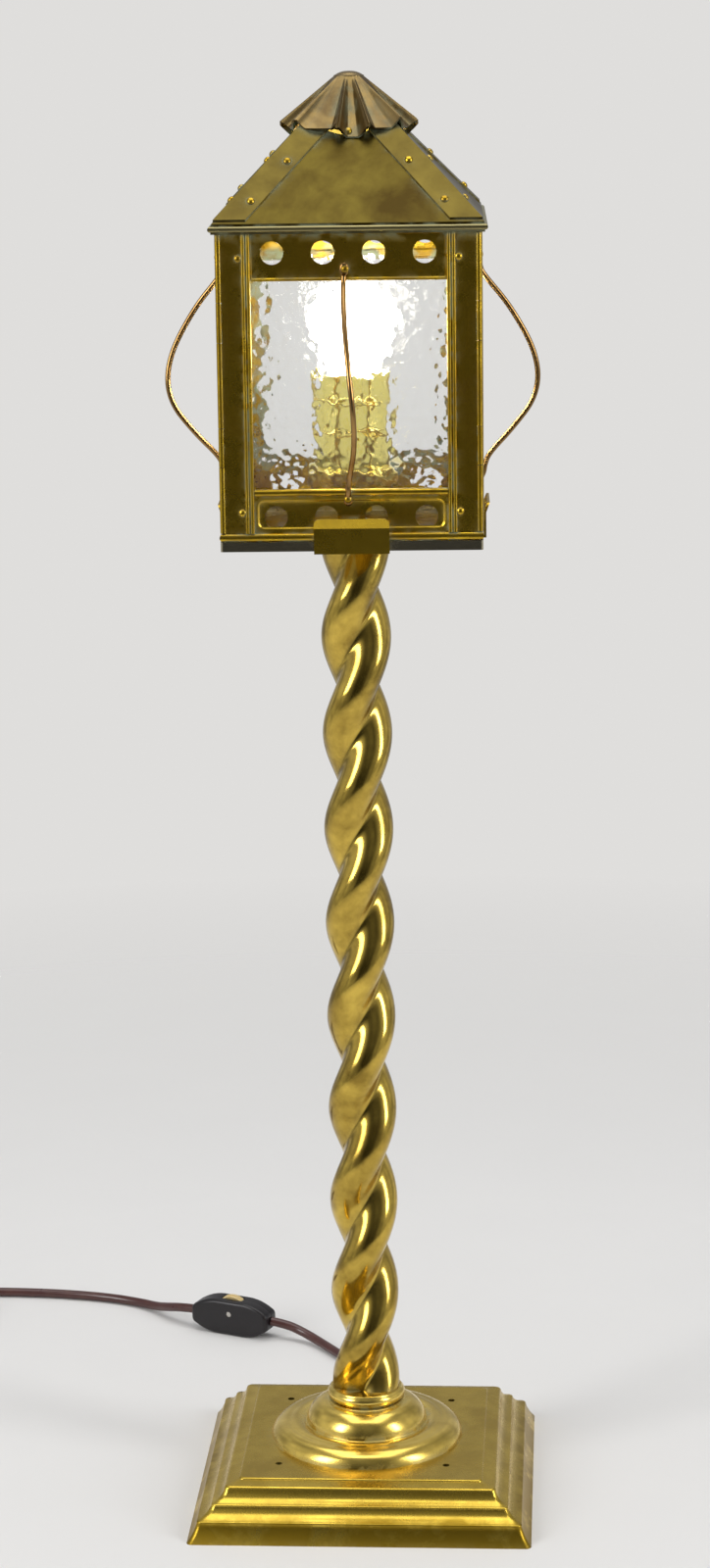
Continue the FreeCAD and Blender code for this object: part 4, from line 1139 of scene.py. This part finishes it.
class LAMP_OT_strain_relief(bpy.types.Operator):
    """Turn the ribbed, tapered strain relief where the flex leaves the foot"""
    bl_idname = "lamp.strain_relief"
    bl_label = "Strain relief"

    def execute(self, context):
        bore = sizes().flex_diameter / 2 / MM + 0.05
        points = [(bore, -RELIEF_IN_FOOT), (RELIEF_ROOT, -RELIEF_IN_FOOT)]
        steps = RELIEF_RIBS * 4
        for k in range(steps + 1):
            share = k / steps
            groove = RELIEF_GROOVE * (1 - cos(pi * k / 2)) / 2 * (1 - share / 2)
            points.append((RELIEF_ROOT + (RELIEF_TIP - RELIEF_ROOT) * share - groove, share * RELIEF_LENGTH))
        points += [(bore, RELIEF_LENGTH), (bore, -RELIEF_IN_FOOT)]
        sleeve = mesh_piece("flex_strain_relief", lathed(points, 40), "switch_plastic", "stand", 50)
        start = Vector(flex_start())
        aim = (Vector(LEAD_ROUTE[0]) - start).to_track_quat("Z", "Y").to_matrix().to_4x4()
        sleeve.data.transform(Matrix.Translation(start * MM) @ aim)
        return {"FINISHED"}


# --- lamp holder and bulb ---
CAP_BODY = 22.8             # radius of the holder's cap
CAP_NECK = 8.8
SHELL_BODY = 18.8
SHELL_HEIGHT = 51.0
SHELL_RINGS = (0.45, 0.74)      # places of the two rolled rings, as shares of the shell's height
RING_BULGE = 0.9
RING_HALF = 1.6
HOLDER_SHEET = 0.9
BULB_BALL = 22.5
BULB_NECK = 12.6
BALL_START = 28             # degrees below the ball's middle where the neck meets it


class LAMP_OT_holder(bpy.types.Operator):
    """Spin the lamp holder's cap and ringed shell, and blow the bulb"""
    bl_idname = "lamp.holder"
    bl_label = "Holder and bulb"

    def execute(self, context):
        z, r, t, n = foot_of("holder_cap"), CAP_BODY, HOLDER_SHEET, CAP_NECK
        cap = outline([(5.1, z), (n - 0.5, z), ((n, z + 0.3), (n, z + 0.8)), (n, z + 3.4),
                       ((r - 3.4, z + 7.0), (r, z + 12.5)), (r, z + 21.6),
                       ((r + 0.5, z + 22.3), (r, z + 23.0)), (SHELL_BODY + 0.1, z + 23.0),
                       (SHELL_BODY + 0.1, z + 22.1), (r - t, z + 22.1), (r - t, z + 12.9),
                       ((r - 4.3, z + 8.2), (7.5, z + 5.2)), (5.1, z + 5.2), (5.1, z)], 8)
        piece = mesh_piece("holder_cap_spun", lathed(cap, 72), "holder_brass", "stand")
        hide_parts("holder_cap")
        z, r, top = foot_of("holder_shell"), SHELL_BODY, foot_of("holder_shell") + SHELL_HEIGHT
        shell = [(r - t, z), (r, z)]
        for share in SHELL_RINGS:
            ring = z + share * SHELL_HEIGHT
            shell += [(r, ring - RING_HALF), ((r + RING_BULGE, ring), (r, ring + RING_HALF))]
        shell += [(r, top), (r - t, top), (r - t, z)]
        piece = mesh_piece("holder_shell_spun", lathed(outline(shell, 8), 72), "holder_brass", "stand")
        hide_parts("holder_shell")
        z, top, r, side = foot_of("bulb_glass"), top_of("bulb_glass"), BULB_BALL, radians(BALL_START)

        def ball(angle):
            return r * cos(angle), top - r + r * sin(angle)

        bulb = outline([(0.01, z), (BULB_NECK, z), (BULB_NECK + 0.25, z + 3.0), ball(-side),
                        (ball(side / 2), ball(2 * side)), (ball(pi / 2 - side / 2), (0.01, top))], 10)
        piece = mesh_piece("bulb_blown", lathed(bulb, 72), "bulb_glass", "bulb", 60)
        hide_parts("bulb_glass")
        return {"FINISHED"}


# --- flex ---
LEAD_ROUTE = [(4.1, 112.0, 4.7), (2.0, 132.0, 3.0), (-7.0, 150.0, 2.9), (-19.0, 167.0, 2.9),
              (-31.5, 186.5, 3.3), (-41.0, 195.0, 5.8), (-50.5, 198.6, 9.2), (-59.9, 200.5, 10.5)]
TAIL_ROUTE = [(-105.0, 221.0, 10.5), (-114.2, 225.7, 9.8), (-122.3, 233.2, 7.1), (-130.0, 243.0, 3.7),
              (-142.0, 252.5, 2.9), (-158.0, 259.5, 2.9), (-176.0, 264.5, 2.9), (-196.0, 268.2, 2.9),
              (-217.5, 270.4, 2.9), (-238.0, 271.3, 2.9)]
FOOT_EXIT = (89.3, 6.7)             # distance behind the column and height, before the foot's turn
FLOOR_FLEX = 2.9                    # height of the flex's middle on the floor
COIL_CENTRE = (-279.0, 231.0)
COIL_STEP = 5.65
COIL_TURNS = 7.25
COIL_POINTS = 16                    # control points in each turn
COIL_OUTER = 31.2 + COIL_STEP * (COIL_TURNS - 0.5) / 4
PLUG_INSET = 2.6                    # plug's middle beyond the coil's outer turn
PLUG_DROP = 44.0                    # plug's entry in front of the coil's middle


def coil_route():
    """The put-away length: wound in below and out above, climbing in the half turn between."""
    count = round(COIL_TURNS * COIL_POINTS)
    points = []
    for k in range(count + 1):
        turn = COIL_TURNS * k / count
        reach = (COIL_OUTER - COIL_STEP * min(turn, COIL_TURNS - turn)) / cos(pi / COIL_POINTS)
        share = min(max((turn - (COIL_TURNS - 0.5) / 2) / 0.5, 0.0), 1.0)
        angle = pi / 2 + 2 * pi * turn
        points.append((COIL_CENTRE[0] + reach * cos(angle), COIL_CENTRE[1] + reach * sin(angle),
                       FLOOR_FLEX + COIL_STEP * (1 - cos(pi * share)) / 2))
    return points


def plug_route():
    """From the coil's last turn into the plug, which lies beside it."""
    height, left = FLOOR_FLEX + COIL_STEP, COIL_CENTRE[0] - COIL_OUTER
    front = COIL_CENTRE[1] - PLUG_DROP
    return [(left, COIL_CENTRE[1] - 10.0, height), (left - 1.2, COIL_CENTRE[1] - 24.0, height),
            (left - PLUG_INSET, front + 12.0, height), (left - PLUG_INSET, front, height)]


class LAMP_OT_flex(bpy.types.Operator):
    """Lay the flex from the foot to the switch and on to its put-away coil and plug"""
    bl_idname = "lamp.flex"
    bl_label = "Flex"

    def execute(self, context):
        nodes, pieces, thick = frame["nodes"], bpy.data.objects, sizes().flex_diameter
        start = flex_start()
        lead = bent_line("flex_to_switch", [start, *LEAD_ROUTE], thick / 2, 5, 5)
        tail = bent_line("flex_to_plug", TAIL_ROUTE + coil_route() + plug_route(), thick / 2, 5, 5)
        for piece in (lead, tail):
            dress(piece, "brown_flex", "stand")
        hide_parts("flex_lead")
        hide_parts("flex_tail", "flex_coil", "flex_end")
        return {"FINISHED"}


# --- studio ---
CAMERA_PLACE = (43.1, -1817.7, 793.4)
CAMERA_TURN = (1.41, 12.85, -0.78)      # degrees to the left, down and about the view
CAMERA_LENS = 84.0
SENSOR_WIDTH = 36.0
FADE = (0.45, 1.3)                      # metres from the lamp over which the floor fades out
FLOOR_RADIUS = 1.5
AIM = (0, 0, 0.35)
SOFT_BOXES = {                          # place, aim, width, height, power
    "soft_box_left": ((-1.7, -1.2, 1.3), AIM, 0.75, 1.3, 25),
    "soft_box_right": ((1.75, -0.9, 1.1), AIM, 0.45, 1.2, 17),
    "soft_box_top": ((0.0, 0.1, 2.1), (0, 0, 0), 1.7, 1.7, 20),
}


def add_camera():
    yaw, pitch, roll = (radians(angle) for angle in CAMERA_TURN)
    ahead = Vector((-sin(yaw) * cos(pitch), cos(yaw) * cos(pitch), -sin(pitch)))
    level = Vector((cos(yaw), sin(yaw), 0.0))
    above = level.cross(ahead)
    right = level * cos(roll) + above * sin(roll)
    top = above * cos(roll) - level * sin(roll)
    data = bpy.data.cameras.new("camera")
    data.lens = CAMERA_LENS
    data.sensor_width = SENSOR_WIDTH
    data.clip_end = 50.0
    camera = put("camera", data)
    turn = Matrix((right, top, -ahead)).transposed().to_4x4()
    camera.matrix_world = Matrix.Translation(metres(CAMERA_PLACE)) @ turn
    bpy.context.scene.camera = camera


def soft_box(name, place, aim, width, height, power):
    data = bpy.data.lights.new(name, "AREA")
    data.shape = "RECTANGLE"
    data.size, data.size_y = width, height
    data.energy = power
    box = put(name, data)
    box.location = place
    box.rotation_euler = (Vector(aim) - Vector(place)).to_track_quat("-Z", "Y").to_euler()


def floor_material():
    """Pale floor that fades into the backdrop away from the lamp."""
    material, tree, shader = new_material("pale_floor")
    place, pale = object_place(tree), colours().floor
    reach = add(tree, "ShaderNodeVectorMath", {0: place}, operation="LENGTH").outputs["Value"]
    feed(shader, {
        "Base Color": blend(noise(place, 12.0, 3.0), rgba(pale, 0.95), rgba(pale, 0.98)),
        "Roughness": 0.7, "Alpha": spread(reach, *FADE, 1.0, 0.0)})
    return material


def world_light():
    """White studio to the camera; in reflections a dim camera side between brighter walls."""
    world = bpy.data.worlds.new("studio")
    bpy.context.scene.world = world
    world.use_nodes = True
    tree = world.node_tree
    tree.nodes.clear()
    seen = add(tree, "ShaderNodeBackground", {"Color": rgba(colours().floor), "Strength": 0.925})
    heading = add(tree, "ShaderNodeTexCoord").outputs["Generated"]
    x, y, z = add(tree, "ShaderNodeSeparateXYZ", {0: heading}).outputs
    across = spread(combine("ABSOLUTE", x, 0.0), 0.3, 0.85, 0.0, 0.42)
    behind = spread(y, -0.15, 0.65, 0.0, 0.36)
    above = spread(z, 0.2, 0.9, 0.0, 0.15)
    level = plus(plus(combine("MAXIMUM", across, behind), above), 0.06)
    uneven = spread(noise(heading, 2.6, 2.0), 0.35, 0.65, 0.55, 1.35)
    room = add(tree, "ShaderNodeBackground", {"Color": (0.97, 0.98, 1.0, 1),
                                              "Strength": times(level, uneven)})
    path = add(tree, "ShaderNodeLightPath").outputs
    shown = combine("MAXIMUM", path["Is Camera Ray"], path["Is Transmission Ray"])
    mix = add(tree, "ShaderNodeMixShader", {0: shown, 1: room.outputs[0], 2: seen.outputs[0]})
    add(tree, "ShaderNodeOutputWorld", {"Surface": mix.outputs[0]})


class LAMP_OT_stage(bpy.types.Operator):
    """Set up the camera, the soft boxes, the pale floor and the backdrop"""
    bl_idname = "lamp.stage"
    bl_label = "Stage"

    def execute(self, context):
        context.scene.view_settings.view_transform = "Standard"
        add_camera()
        world_light()
        mesh = bpy.data.meshes.new("floor")
        edit(mesh, lambda shape: bmesh.ops.create_circle(shape, cap_ends=True, radius=FLOOR_RADIUS,
                                                         segments=96))
        mesh.materials.append(floor_material())
        put("floor", mesh)
        for name, settings in SOFT_BOXES.items():
            soft_box(name, *settings)
        return {"FINISHED"}


class LAMP_PT_panel(bpy.types.Panel):
    """Buttons for each group of pieces"""
    bl_idname = "LAMP_PT_panel"
    bl_label = "Lantern lamp"
    bl_space_type = "VIEW_3D"
    bl_region_type = "UI"
    bl_category = "Lantern lamp"

    def draw(self, context):
        for operator in OPERATORS:
            self.layout.operator(operator.bl_idname)
        for group in (sizes(), colours()):
            for name in group.__annotations__:
                self.layout.prop(group, name)


OPERATORS = [LAMP_OT_finishes, LAMP_OT_stage, LAMP_OT_switch, LAMP_OT_plug, LAMP_OT_strain_relief,
             LAMP_OT_flex, LAMP_OT_holder, LAMP_OT_foot, LAMP_OT_boss, LAMP_OT_column,
             LAMP_OT_rails, LAMP_OT_guards, LAMP_OT_rivets, LAMP_OT_vent_cap]
CLASSES = [LampSizes, LampColours, *OPERATORS, LAMP_PT_panel]


def register():
    for item in CLASSES:
        bpy.utils.register_class(item)
    bpy.types.Scene.lamp_sizes = bpy.props.PointerProperty(type=LampSizes)
    bpy.types.Scene.lamp_colours = bpy.props.PointerProperty(type=LampColours)


def unregister():
    del bpy.types.Scene.lamp_colours
    del bpy.types.Scene.lamp_sizes
    for item in reversed(CLASSES):
        bpy.utils.unregister_class(item)


def main():
    register()
    for operator in OPERATORS:
        group, name = operator.bl_idname.split(".")
        getattr(getattr(bpy.ops, group), name)()


if __name__ == "__main__":
    main()
